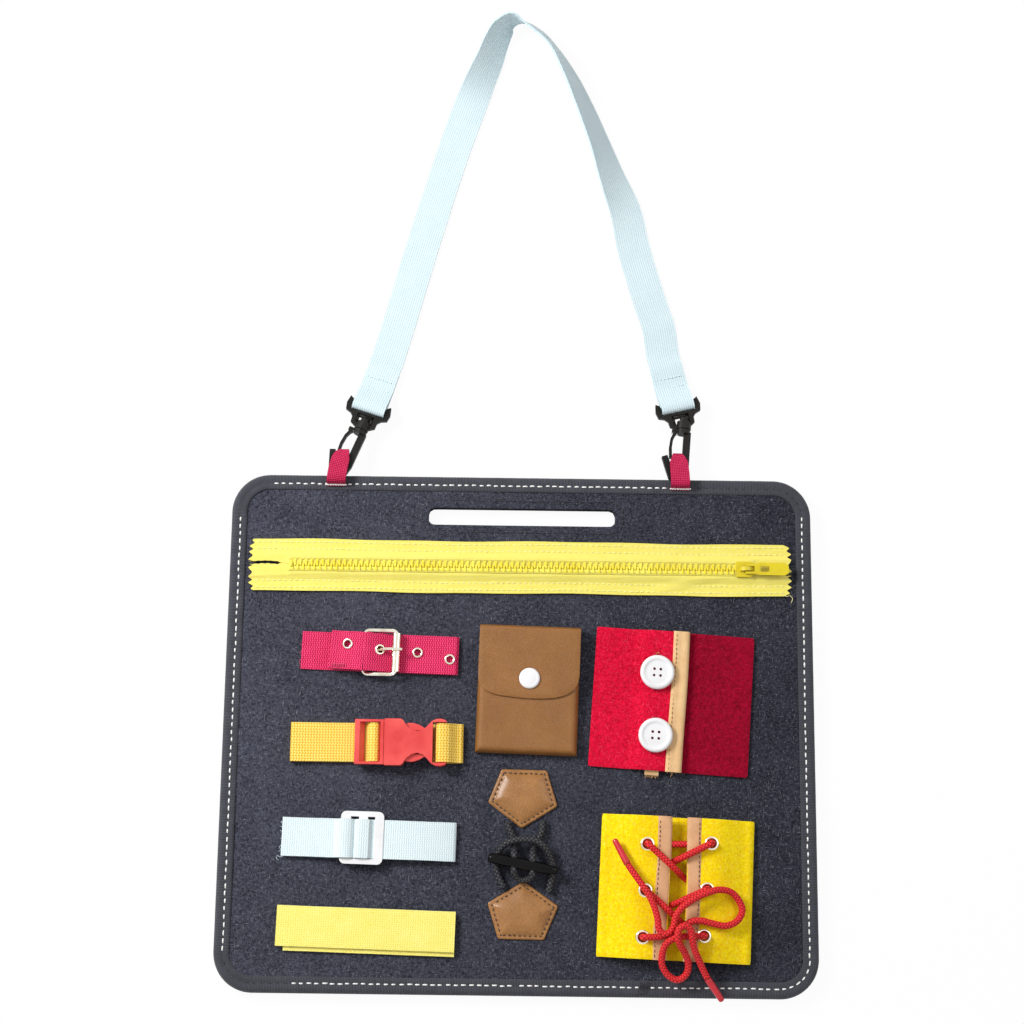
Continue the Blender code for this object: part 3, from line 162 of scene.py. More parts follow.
class Graph(Nodes):
    """A material, whose settings are sockets of its shader."""

    def __init__(self, name, **settings):
        self.material = bpy.data.materials.new(name)
        super().__init__(self.material)
        self.shader = self.nodes["Principled BSDF"]
        for socket, value in settings.items():
            self.shader.inputs[socket.replace("_", " ")].default_value = value

    def spot(self):
        return self.nodes.new("ShaderNodeTexCoord").outputs["Object"]

    def flat(self):
        """Length along and across a strip, in metres."""
        made = self.nodes.new("ShaderNodeUVMap")
        made.uv_map = "weave"
        return made.outputs[0]

    def stretch(self, vector, scale, turn=(0, 0, 0)):
        made = self.nodes.new("ShaderNodeMapping")
        self.set(made.inputs["Vector"], vector)
        made.inputs["Rotation"].default_value = turn
        made.inputs["Scale"].default_value = scale
        return made.outputs[0]

    def noise(self, scale, detail, rough, vector=None):
        made = self.nodes.new("ShaderNodeTexNoise")
        self.set(made.inputs["Vector"], vector or self.spot())
        made.inputs["Scale"].default_value = scale
        made.inputs["Detail"].default_value = detail
        made.inputs["Roughness"].default_value = rough
        return made.outputs["Fac"]

    def cells(self, scale, vector=None, feature="F1"):
        made = self.nodes.new("ShaderNodeTexVoronoi")
        made.feature = feature
        self.set(made.inputs["Vector"], vector or self.spot())
        made.inputs["Scale"].default_value = scale
        return made.outputs["Distance"]

    def ramp(self, share, stops):
        made = self.nodes.new("ShaderNodeValToRGB")
        self.set(made.inputs[0], share)
        band = made.color_ramp
        while len(band.elements) < len(stops):
            band.elements.new(0.5)
        for element, (position, colour) in zip(band.elements, stops):
            element.position = position
            element.color = linear(colour) if isinstance(colour, str) else (colour, colour, colour, 1)
        return made.outputs[0]

    def mix(self, share, first, second, blend="MIX"):
        made = self.nodes.new("ShaderNodeMix")
        made.data_type = "RGBA"
        made.blend_type = blend
        self.set(made.inputs["Factor"], share)
        self.set(made.inputs[6], first)
        self.set(made.inputs[7], second)
        return made.outputs[2]

    def wave(self, value):
        return self.math("ABSOLUTE", self.math("SINE", value))

    def colour(self, value):
        self.set(self.shader.inputs["Base Color"], value)

    def rough(self, value):
        self.set(self.shader.inputs["Roughness"], value)

    def bump(self, height, distance):
        """Height is a share of distance, which is in metres."""
        made = self.nodes.new("ShaderNodeBump")
        made.inputs["Strength"].default_value = 1.0
        made.inputs["Distance"].default_value = distance
        self.set(made.inputs["Height"], height)
        self.set(self.shader.inputs["Normal"], made.outputs[0])


# The width in metres over which the painted shade on the felt darkens it from left to right.
PAINTED_FALLOFF_RUN = 0.34


def felt(name, low, high, hair_and_sheen, hair_and_sheen_share, pile=0.0009, painted_falloff=0.0):
    """Needled wool: matted fibres, a soft mottle and a few pale hairs, whose lightness is partly painted
    sheen. Its last argument paints shade that darkens it from left to right, as the light falls off across
    the board.
    """
    graph = Graph(name, Sheen_Weight=0.03, Sheen_Roughness=0.6, Specular_IOR_Level=0.06, Roughness=0.96)
    spot = graph.spot()
    slow = graph.noise(45, 3, 0.6, spot)
    clump = graph.noise(620, 3, 0.7, spot)
    fibre = graph.noise(1, 3, 0.7, graph.stretch(spot, (500, 1900, 1300), (0, 0, 0.6)))
    cross = graph.noise(1, 3, 0.7, graph.stretch(spot, (1900, 500, 1300), (0, 0, 0.3)))
    fibres = graph.math("MULTIPLY", graph.math("ADD", fibre, cross), 0.27)
    mat = graph.math("MULTIPLY_ADD", clump, 0.34, graph.math("MULTIPLY_ADD", slow, 0.12, fibres))
    base = graph.ramp(mat, [(0.4, low), (0.6, high)])
    # Painted shade: the felt darkens from left to right, where the light falls off.
    if painted_falloff:
        share = graph.math("MULTIPLY_ADD", graph.split(spot)[0], painted_falloff / PAINTED_FALLOFF_RUN, painted_falloff / 2)
        base = graph.mix(share, base, linear("000000"))
    # Pale stray hairs, lighter partly in their own colour and partly as painted sheen on the fibres.
    hair_sheen_along = graph.noise(1, 2, 0.5, graph.stretch(spot, (420, 2600, 900), (0, 0, -0.7)))
    other = graph.noise(1, 2, 0.5, graph.stretch(spot, (2600, 380, 900), (0, 0, -0.3)))
    hairs_and_sheen = graph.ramp(graph.math("MAXIMUM", hair_sheen_along, other), [(0.62, 0.0), (0.74, 1.0)])
    graph.colour(graph.mix(graph.math("MULTIPLY", hairs_and_sheen, hair_and_sheen_share), base, linear(hair_and_sheen)))
    graph.bump(mat, pile)
    return graph.material


def weave_height(graph, along, across, offset, slant, firm):
    """Yarns that run along a strip in columns, offset from one column to the next.

    Firm holds how much of the height stays between yarns, along the strip and across it.
    """
    u, v, _ = graph.split(graph.flat())
    row = graph.math("DIVIDE", u, along * MM)
    column = graph.math("DIVIDE", v, across * MM)
    number = graph.math("FLOOR", column)
    odd = graph.math("MODULO", graph.math("ABSOLUTE", number), 2)
    shift = graph.math("MULTIPLY", odd, offset)
    if slant:
        within = graph.math("SUBTRACT", column, number)
        side = graph.math("SUBTRACT", odd, 0.5)
        turned = graph.math("MULTIPLY", side, 2 * slant)
        shift = graph.math("MULTIPLY_ADD", within, turned, shift)
    wave = graph.math("SINE", graph.math("MULTIPLY", graph.math("ADD", row, shift), math.pi))
    yarn = graph.math("SINE", graph.math("MULTIPLY", column, math.pi))
    crowns = graph.math("POWER", graph.math("ABSOLUTE", wave), 0.7)
    crowns = graph.math("MULTIPLY_ADD", crowns, 1 - firm[0], firm[0])
    columns = graph.math("SQRT", graph.math("ABSOLUTE", yarn))
    columns = graph.math("MULTIPLY_ADD", columns, 1 - firm[1], firm[1])
    return graph.math("MULTIPLY", crowns, columns)


def webbing(name, low, middle, high, along, across, offset, slant, firm, depth):
    """Woven strap: yarn crowns painted lighter as highlight, the gaps between yarns painted darker as shade,
    and a slow change of tone.
    """
    graph = Graph(name, Sheen_Weight=0.03, Sheen_Roughness=0.4, Specular_IOR_Level=0.15, Roughness=0.62)
    height = weave_height(graph, along, across, offset, slant, firm)
    strands = graph.noise(1, 3, 0.6, graph.stretch(graph.flat(), (500, 6000, 1)))
    relief = graph.math("MULTIPLY_ADD", strands, 0.25, graph.math("MULTIPLY", height, 0.85))
    # The colour follows the weave's relief: painted highlight on the crowns and painted shade in the gaps,
    # over a random tone.
    tone = graph.math("MULTIPLY_ADD", graph.noise(120, 3, 0.6), 0.22, graph.math("SUBTRACT", relief, 0.1))
    graph.colour(graph.ramp(tone, [(0.12, low), (0.5, middle), (0.95, high)]))
    graph.rough(graph.ramp(relief, [(0.1, 0.85), (0.9, 0.5)]))
    graph.bump(relief, depth)
    return graph.material


def moulded(name, low, high, rough, grain=0.00003, coat=0.0, glow=0.0, shine=0.4):
    """Moulded plastic with a faint orange peel, flow marks and dull scuffs."""
    graph = Graph(
        name, Coat_Weight=coat, Coat_Roughness=0.15, Specular_IOR_Level=shine,
        Subsurface_Weight=glow, Subsurface_Scale=0.002,
    )
    flow = graph.noise(60, 3, 0.55)
    graph.colour(graph.ramp(flow, [(0.35, low), (0.65, high)]))
    scuff = graph.noise(1, 4, 0.7, graph.stretch(graph.spot(), (500, 160, 300), (0, 0, 0.6)))
    graph.rough(graph.ramp(scuff, [(0.4, rough), (0.75, min(rough + 0.22, 1))]))
    graph.bump(graph.noise(900, 2, 0.5), grain)
    return graph.material


def plated(name, low, high, rough):
    """Plated metal with fine scratches and slightly tarnished patches."""
    graph = Graph(name, Metallic=1.0)
    patch = graph.noise(180, 4, 0.6)
    graph.colour(graph.ramp(patch, [(0.35, low), (0.6, high)]))
    scratch = graph.noise(1, 3, 0.7, graph.stretch(graph.spot(), (4500, 300, 1500), (0, 0, 0.4)))
    graph.rough(graph.ramp(scratch, [(0.35, rough), (0.75, rough + 0.1)]))
    graph.bump(scratch, 0.000002)
    return graph.material


def leather(name, low, middle, high, shine):
    """Grained leather: pebbles between fine creases, and a soft waxy shine."""
    graph = Graph(name, Specular_IOR_Level=0.45, Coat_Weight=0.06 + shine, Coat_Roughness=0.25)
    spot = graph.spot()
    warp = graph.noise(500, 2, 0.5, spot)
    pebble = graph.cells(1500, graph.mix(0.0006, spot, warp, "ADD"), "DISTANCE_TO_EDGE")
    grain = graph.ramp(pebble, [(0.0, 0.0), (0.28, 1.0)])
    # The creases between the pebbles are painted darker, as shade, over a random tone.
    tone = graph.math("MULTIPLY_ADD", graph.noise(60, 3, 0.5, spot), 0.55, graph.math("MULTIPLY", grain, 0.4))
    graph.colour(graph.ramp(tone, [(0.3, low), (0.55, middle), (0.85, high)]))
    graph.rough(graph.ramp(graph.noise(260, 3, 0.6, spot), [(0.3, 0.42), (0.7, 0.58)]))
    graph.bump(grain, 0.00008)
    return graph.material


def braided(name, low, middle, high, pitch, strands):
    """A braided cord: plump strands that cross on a slant, along and round it."""
    graph = Graph(name, Sheen_Weight=0.02, Sheen_Roughness=0.4, Specular_IOR_Level=0.3, Roughness=0.5)
    u, v, _ = graph.split(graph.flat())
    turn = graph.math("MULTIPLY", v, strands / 2)
    run = graph.math("DIVIDE", u, pitch * MM)
    one = graph.wave(graph.math("MULTIPLY", graph.math("ADD", run, turn), math.pi))
    two = graph.wave(graph.math("MULTIPLY", graph.math("SUBTRACT", run, turn), math.pi))
    height = graph.math("POWER", graph.math("MULTIPLY", one, two), 0.5)
    yarn = graph.noise(1, 2, 0.6, graph.stretch(graph.spot(), (5200, 5200, 5200)))
    relief = graph.math("MULTIPLY_ADD", yarn, 0.2, graph.math("MULTIPLY", height, 0.8))
    # The colour follows the relief: painted highlight on the strands' crowns and painted shade where they dip
    # under each other.
    graph.colour(graph.ramp(relief, [(0.25, low), (0.55, middle), (0.85, high)]))
    graph.bump(relief, 0.00035)
    return graph.material


def tape(name, low, middle, high, pitch, depth):
    """Fine ribbed tape, whose ribs run across it."""
    graph = Graph(name, Sheen_Weight=0.15, Sheen_Roughness=0.5, Specular_IOR_Level=0.3, Roughness=0.75)
    u = graph.split(graph.flat())[0]
    wobble = graph.math("MULTIPLY", graph.noise(700, 2, 0.5), 0.9)
    rib = graph.wave(graph.math("MULTIPLY_ADD", u, math.pi / (pitch * MM), wobble))
    fine = graph.noise(1, 3, 0.6, graph.stretch(graph.spot(), (4200, 4200, 4200)))
    relief = graph.math("MULTIPLY_ADD", fine, 0.3, graph.math("MULTIPLY", rib, 0.7))
    # The colour follows the ribs: painted highlight on their crowns and painted shade between them, over a
    # random tone.
    tone = graph.math("MULTIPLY_ADD", graph.noise(140, 3, 0.6), 0.3, graph.math("MULTIPLY", relief, 0.7))
    graph.colour(graph.ramp(tone, [(0.2, low), (0.5, middle), (0.8, high)]))
    graph.bump(relief, depth)
    return graph.material


# The navy felt carries painted shade, darker towards the right.
NAVY_FELT = felt("navy_felt", "191a22", "525462", "a5a8b2", 0.4, painted_falloff=0.5)
RED_FELT = felt("red_felt", "a8001f", "ee1440", "ff8898", 0.25, 0.0007)
# A darker copy of the red felt: painted shade for the lower panel, which lies in shade beside the flap.
SHADED_RED_FELT = felt("shaded_red_felt", "6a0014", "a80630", "e0506c", 0.2, 0.0007)
YELLOW_FELT = felt("yellow_felt", "eab800", "ffea14", "fffab0", 0.3, 0.0006)
NAVY_TAPE = tape("navy_tape", "17181d", "303138", "4c4d56", 0.85, 0.00025)
TAN_TAPE = tape("tan_tape", "a8743f", "dcae78", "f3d3a2", 0.5, 0.00008)
PANEL_TAPE = tape("panel_tape", "a06a3a", "d09a6c", "ecc098", 0.5, 0.00008)
ZIP_TAPE = webbing("zip_tape", "d6c232", "f2e25a", "fbf292", 1.0, 0.7, 0.0, 1.0, (0.2, 0.1), 0.0002)
RED_WEB = webbing("red_web", "6a0020", "c20c44", "f5487c", 1.35, 1.25, 0.3, 0.0, (0.0, 0.5), 0.0003)
TAB_WEB = webbing("tab_web", "5a001c", "a80e3c", "e03868", 1.0, 1.05, 0.1, 0.0, (0.1, 0.2), 0.0003)
YELLOW_WEB = webbing("yellow_web", "cd8c10", "f3c038", "ffe684", 1.6, 1.5, 0.5, 0.45, (0.15, 0.2), 0.0003)
BLUE_WEB = webbing("blue_web", "9cc0ca", "cfe1e5", "e8f2f4", 1.25, 1.3, 0.2, 0.0, (0.1, 0.6), 0.0002)
STRAP_WEB = webbing("strap_web", "9ab8c2", "c0d4da", "d6e4e8", 1.2, 1.3, 0.5, 0.0, (0.6, 0.0), 0.0001)
BROWN_LEATHER = leather("brown_leather", "7c4f1a", "8f5c25", "9c6930", 0.0)
PATCH_LEATHER = leather("patch_leather", "845520", "a06b2e", "ba8446", 0.35)
BLACK_PLASTIC = moulded("black_plastic", "0c0b0a", "1a1816", 0.4, shine=0.2)
CORAL_PLASTIC = moulded("coral_plastic", "d43b3b", "e85853", 0.34, coat=0.1, glow=0.15)
WHITE_PLASTIC = moulded("white_plastic", "e0dfe0", "ebeaec", 0.34, coat=0.1)
YELLOW_PAINT = moulded("yellow_paint", "cdb700", "e4d000", 0.26, coat=0.3)
YELLOW_TEETH = moulded("yellow_teeth", "ecd934", "f8ea5c", 0.34)
BLACK_HORN = moulded("black_horn", "020202", "0a0808", 0.14, 0.00001, coat=0.05, shine=0.12)
RED_FILM = moulded("red_film", "b00c1e", "d01a2c", 0.25, coat=0.3)
NICKEL = plated("nickel", "d3ccb8", "f0ebdc", 0.12)
BLACK_CORD = braided("black_cord", "010102", "101013", "46464c", 2.4, 8)
RED_CORD = braided("red_cord", "92040e", "d20e1c", "f23638", 1.9, 8)
BOARD_CORE = felt("board_core", "8d8576", "b3aa99", "cfc7b8", 0.1)


def thread(name, low, high):
    graph = Graph(name, Sheen_Weight=0.2, Specular_IOR_Level=0.4, Roughness=0.55)
    twist = graph.noise(1, 2, 0.6, graph.stretch(graph.spot(), (2500, 2500, 2500)))
    graph.colour(graph.ramp(twist, [(0.3, low), (0.65, high)]))
    graph.bump(twist, 0.00008)
    return graph.material


WHITE_THREAD = thread("white_thread", "dedcd6", "ffffff")
BLACK_THREAD = thread("black_thread", "0a0a0c", "202024")
TAN_THREAD = thread("tan_thread", "b07c46", "ddae78")
YELLOW_THREAD = thread("yellow_thread", "eade70", "fffcc4")
SEAM_THREAD = thread("seam_thread", "6e431c", "9c6a34")
RED_THREAD = thread("red_thread", "b0184a", "f05a86")
BROWN_THREAD = thread("brown_thread", "24160b", "4a2e17")
BLUE_THREAD = thread("blue_thread", "b5d2dc", "e6f4f8")


def hook_and_loop_material():
    """A dense pile of loops, with woven edges that run along both sides."""
    graph = Graph("loop_pile", Sheen_Weight=0.3, Sheen_Roughness=0.5, Specular_IOR_Level=0.25, Roughness=0.85)
    loops = graph.cells(1500)
    curl = graph.noise(1, 4, 0.75, graph.stretch(graph.spot(), (2600, 1500, 2600)))
    twill = weave_height(graph, 1.3, 1.2, 0.5, 0.5, (0.1, 0.3))
    pile = graph.math("MULTIPLY_ADD", loops, 0.3, graph.math("MULTIPLY", curl, 0.3))
    relief = graph.math("MULTIPLY_ADD", twill, 0.45, pile)
    # The colour follows the relief: painted shade between the loops and in the weave's dips, painted
    # highlight on their tops.
    tone = graph.math("MULTIPLY_ADD", graph.noise(90, 3, 0.6), 0.25, graph.math("MULTIPLY", relief, 0.85))
    graph.colour(graph.ramp(tone, [(0.2, "dcc536"), (0.5, "f0e062"), (0.85, "fdf69a")]))
    graph.bump(relief, 0.0003)
    return graph.material


LOOP_PILE = hook_and_loop_material()

# Mesh makers


def piece(name, mesh, material, body="board", replaces=None):
    """A finished mesh as a piece of the object, which rides on a body."""
    mesh.name = name
    mesh.materials.clear()
    mesh.materials.append(material)
    made = bpy.data.objects.new(name, mesh)
    bpy.context.scene.collection.objects.link(made)
    if body:
        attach(made, body)
    if replaces:
        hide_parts(replaces)
    return made


def finished(shape, matrix=None, smooth=180):
    """The shape as a smooth mesh, whose edges are sharp above an angle in degrees."""
    if matrix is not None:
        shape.transform(matrix)
    bmesh.ops.recalc_face_normals(shape, faces=shape.faces)
    mesh = bpy.data.meshes.new("piece")
    shape.to_mesh(mesh)
    shape.free()
    mesh.shade_smooth()
    if smooth < 180:
        mesh.set_sharp_from_angle(angle=math.radians(smooth))
    return mesh


def smooth_route(points, step, extra=()):
    """Points a step apart on a smooth curve through these, with their other values carried along."""
    points = [Vector(p) for p in points]
    rows = [tuple(p) + tuple(e) for p, e in zip(points, extra)] if extra else [tuple(p) for p in points]
    out = []
    for i in range(len(points) - 1):
        before, first = rows[max(i - 1, 0)], rows[i]
        second, after = rows[i + 1], rows[min(i + 2, len(rows) - 1)]
        run = (points[i + 1] - points[i]).length
        reach = max((points[i] - points[max(i - 1, 0)]).length, 1e-9) if i else run
        beyond = (points[i + 2] - points[i + 1]).length if i + 2 < len(points) else run
        count = max(1, round(run / step))
        for k in range(count):
            t = k / count
            row = []
            for a, b, c, d in zip(before, first, second, after):
                out_slope = ((b - a) / reach * run + (c - b)) / 2 if i else c - b
                in_slope = ((d - c) / beyond * run + (c - b)) / 2 if i + 2 < len(points) else c - b
                t2, t3 = t * t, t * t * t
                row.append(
                    (2 * t3 - 3 * t2 + 1) * b + (t3 - 2 * t2 + t) * out_slope
                    + (3 * t2 - 2 * t3) * c + (t3 - t2) * in_slope
                )
            out.append(tuple(row))
    out.append(rows[-1])
    return out


def new_shape():
    """An empty shape, whose faces carry the weave's lengths as UVs."""
    shape = bmesh.new()
    shape.loops.layers.uv.new("weave")
    return shape


def bridge(shape, rings, uvs=None, closed=True, around=False):
    """Faces between neighbouring rings of vertices. Uvs gives a corner's UV from its two numbers."""
    weave = shape.loops.layers.uv.get("weave")
    count = len(rings[0])
    for i in range(len(rings) if around else len(rings) - 1):
        for k in range(count if closed else count - 1):
            corners = ((i, k), (i, k + 1), (i + 1, k + 1), (i + 1, k))
            face = shape.faces.new([rings[a % len(rings)][b % count] for a, b in corners])
            if uvs:
                for loop, corner in zip(face.loops, corners):
                    loop[weave].uv = uvs(*corner)


def lay_uvs(shape, along=0, across=1, shift=0.0):
    """UVs from the place of each corner of the faces that are there."""
    weave = shape.loops.layers.uv.get("weave")
    for face in shape.faces:
        for loop in face.loops:
            loop[weave].uv = (loop.vert.co[along], loop.vert.co[across] + shift)


def run_lengths(points):
    """The length of a line up to each of its points."""
    lengths = [0.0]
    for a, b in zip(points, points[1:]):
        lengths.append(lengths[-1] + (Vector(b) - Vector(a)).length)
    return lengths


def strip(route, width, thickness, matrix, step, ripple=0.0, seed=1, across=14, crown=0.0, sides=None):
    """A woven strap: a smooth band with rounded selvedges, and the weave's lengths as its UVs.

    Route rows are X, Z or X, Y, Z in millimetres. Sides, where given, point across the strap.
    """
    route = [(row[0], 0, row[1]) if len(row) == 2 else tuple(row) for row in route]
    widths = width if isinstance(width, list) else [width] * len(route)
    sides = sides or [(0, 1, 0)] * len(route)
    rows = smooth_route(route, step, [(*side, wide) for side, wide in zip(sides, widths)])
    centres = [Vector(row[:3]) for row in rows]
    lengths = run_lengths(centres)
    shares = [-0.985 + 1.97 * i / across for i in range(across + 1)]
    profile = [(-1, 0), *[(s, 1) for s in shares], (1, 0), *[(-s, -1) for s in shares]]
    shape = new_shape()
    dice = random.Random(seed)
    phases = [dice.uniform(0, 6.28) for _ in range(3)]
    rings = []
    for i, (centre, run) in enumerate(zip(centres, lengths)):
        tangent = (centres[min(i + 1, len(centres) - 1)] - centres[max(i - 1, 0)]).normalized()
        side = Vector(rows[i][3:6])
        side = (side - tangent * side.dot(tangent)).normalized()
        up = tangent.cross(side).normalized()
        wave = ripple * (math.sin(run / 9 + phases[0]) + 0.6 * math.sin(run / 3.7 + phases[1]))
        reach = rows[i][6] / 2 + ripple * 0.5 * math.sin(run / 5.3 + phases[2])
        ring = []
        for share, level in profile:
            lift = level * thickness / 2 + wave * share * share + crown * (1 - share * share)
            ring.append(shape.verts.new((centre + side * (share * reach) + up * lift) * MM))
        rings.append(ring)
    flat = [share * rows[0][6] / 2 for share, _ in profile]
    bridge(shape, rings, lambda i, k: (lengths[i] * MM, flat[k % len(flat)] * MM + 0.02))
    weave = shape.loops.layers.uv.get("weave")
    for ring in (rings[0], rings[-1]):
        for loop, share in zip(shape.faces.new(ring).loops, flat):
            loop[weave].uv = (0.0005, share * MM + 0.02)
    return finished(shape, matrix, 50)


def cord_mesh(route, radius, step, around, taper=None):
    """A round cord along a route in millimetres, with its length and turn as UVs. It returns its line too."""
    line = [Vector(row) for row in smooth_route(route, step)]
    lengths = run_lengths(line)
    shape = new_shape()
    normal = (line[1] - line[0]).normalized().orthogonal().normalized()
    angles = [2 * math.pi * k / around for k in range(around)]
    rings = []
    for i, point in enumerate(line):
        ahead = (line[min(i + 1, len(line) - 1)] - line[max(i - 1, 0)]).normalized()
        normal = (normal - ahead * normal.dot(ahead)).normalized()
        other = ahead.cross(normal)
        size = radius * (taper(i / (len(line) - 1)) if taper else 1)
        ring = [(point + (normal * math.cos(a) + other * math.sin(a)) * size) * MM for a in angles]
        rings.append([shape.verts.new(spot) for spot in ring])
    bridge(shape, rings, lambda i, k: (lengths[i] * MM, k / around))
    shape.faces.new(rings[0])
    shape.faces.new(rings[-1])
    return finished(shape), [tuple(p * MM) for p in line]


def stitches(line, matrix, pitch, dash, radius, lift, sink, jitter, seed, closed=False, skip=()):
    """A row of sewn dashes along a line in millimetres, each bowed up out of the cloth and back into it."""
    dice = random.Random(seed)
    points = [Vector((*p, 0)) if len(p) == 2 else Vector(p) for p in line]
    if closed:
        points.append(points[0])
    lengths = run_lengths(points)

    def at(s):
        s = min(max(s, 0), lengths[-1])
        i = 0
        while i < len(points) - 2 and lengths[i + 1] < s:
            i += 1
        span = max(lengths[i + 1] - lengths[i], 1e-9)
        return points[i].lerp(points[i + 1], (s - lengths[i]) / span)

    def unit(vector, other):
        return vector.normalized() if vector.length > 1e-6 else Vector(other)

    shape = bmesh.new()
    start = 0.0
    while start + dash < lengths[-1]:
        if not any(low <= start / lengths[-1] <= high for low, high in skip):
            long = dash * (1 + dice.uniform(-jitter, jitter))
            shift = Vector((dice.uniform(-0.1, 0.1), dice.uniform(-0.1, 0.1), 0)) * (radius / 0.22)
            rings = []
            for k in range(7):
                t = k / 6
                spot = at(start + long * t) + shift
                spot.z += lift - (lift + sink) * (2 * t - 1) ** 4
                ahead = at(start + long * min(t + 0.1, 1)) - at(start + long * max(t - 0.1, 0))
                ahead = unit(ahead, (1, 0, 0))
                side = unit(Vector((-ahead.y, ahead.x, 0)), (0, 1, 0))
                up = ahead.cross(side).normalized()
                size = radius * (0.75 + 0.35 * math.sin(math.pi * t))
                rings.append([
                    shape.verts.new((spot + (side * math.cos(a) + up * math.sin(a)) * size) * MM)
                    for a in [math.pi / 3 * n for n in range(6)]
                ])
            bridge(shape, rings)
            shape.faces.new(rings[0])
            shape.faces.new(rings[-1])
        start += pitch
    return finished(shape, matrix)


def loose_thread(points, matrix, radius=0.16):
    mesh, _ = cord_mesh(points, radius, 0.6, 6)
    mesh.transform(matrix)
    return mesh


def threads(lines, matrix, radius):
    """Loose threads along these lines, as one mesh."""
    return joined([loose_thread(line, matrix, radius) for line in lines])


def joined(meshes, matrix=None):
    """These meshes as one."""
    shape = bmesh.new()
    for mesh in meshes:
        shape.from_mesh(mesh)
    return finished(shape, matrix)


def slab(shape, tops, lows, shift=0.0):
    """A sheet between two grids of vertices, whose rims are closed. Its faces get UVs, its rims don't."""
    for grid in (tops, lows):
        bridge(shape, grid, closed=False)
    lay_uvs(shape, shift=shift)
    for end in (0, -1):
        bridge(shape, [[row[end] for row in grid] for grid in (tops, lows)], closed=False)
        bridge(shape, [tops[end], lows[end]], closed=False)


def folded_tape(rows, matrix):
    """A folded tape through rings of points in millimetres, whose length runs along Y."""
    shape = new_shape()
    rings = [[shape.verts.new(mm(*point)) for point in row] for row in rows]
    bridge(shape, rings)
    lay_uvs(shape, 1, 0)
    shape.faces.new(rings[0])
    shape.faces.new(rings[-1])
    return finished(shape, matrix, 60)


def boxes(corners, edge, segments=2):
    """Boxes between pairs of corners in millimetres, with rounded edges."""
    shape = bmesh.new()
    for low, high in corners:
        middle = moved(*[(a + b) / 2 for a, b in zip(low, high)])
        sizes = [(b - a) * MM for a, b in zip(low, high)]
        bmesh.ops.create_cube(shape, size=1, matrix=middle @ Matrix.Diagonal((*sizes, 1)))
    edges = list(shape.edges)
    bmesh.ops.bevel(
        shape, geom=edges, offset=edge * MM, segments=segments, affect="EDGES", clamp_overlap=True,
    )
    return shape


def arc(centre, radius, start, end, steps):
    angles = [math.radians(start + (end - start) * i / steps) for i in range(steps + 1)]
    return [(centre[0] + radius * math.cos(a), centre[1] + radius * math.sin(a)) for a in angles]


def rounded(width, height, radius, centre, steps):
    x, y = centre
    side, rise = width / 2 - radius, height / 2 - radius
    corners = ((side, rise, 0), (-side, rise, 90), (-side, -rise, 180), (side, -rise, 270))
    return [p for a, b, start in corners for p in arc((x + a, y + b), radius, start, start + 90, steps)]


def along(points, step):
    """Points a step apart along a closed outline."""
    out = []
    for a, b in zip(points, points[1:] + points[:1]):
        a, b = Vector(a), Vector(b)
        count = max(1, round((b - a).length / step))
        out += [tuple(a.lerp(b, k / count)) for k in range(count)]
    return out


# The board: two felts round a stiff sheet, with a binding folded over their edge

OUTLINE = rounded(335, 293, 22, (0, 0), 16)
SLOT = rounded(108, 10.3, 3.5, (0.4, 123), 5)


def inset(points, distance):
    """A closed outline moved inwards by this distance."""
    out = []
    for i, point in enumerate(points):
        one = (Vector(point) - Vector(points[i - 1])).normalized()
        two = (Vector(points[(i + 1) % len(points)]) - Vector(point)).normalized()
        run = (one + two).normalized()
        out.append((point[0] - run.y * distance, point[1] + run.x * distance))
    return out


def inside(x, y, outline):
    """Whether a point lies in a closed outline."""
    hit = False
    for (x1, y1), (x2, y2) in zip(outline, outline[1:] + outline[:1]):
        if (y1 > y) != (y2 > y) and x < (x2 - x1) * (y - y1) / (y2 - y1) + x1:
            hit = not hit
    return hit


def nearest(x, y, outline):
    """The distance to a closed outline, and its nearest point."""
    best, spot = 1e9, (x, y)
    for a, b in zip(outline, outline[1:] + outline[:1]):
        run = (b[0] - a[0], b[1] - a[1])
        size = run[0] ** 2 + run[1] ** 2
        if size < 1e-12:
            continue
        t = min(max(((x - a[0]) * run[0] + (y - a[1]) * run[1]) / size, 0), 1)
        found = (a[0] + run[0] * t, a[1] + run[1] * t)
        away = (found[0] - x) ** 2 + (found[1] - y) ** 2
        if away < best:
            best, spot = away, found
    return best**0.5, spot


CELL_SIDES = (
    (-1, 0, (0, 1), (0, 0)), (1, 0, (1, 0), (1, 1)), (0, -1, (0, 0), (1, 0)), (0, 1, (1, 1), (0, 1)),
)


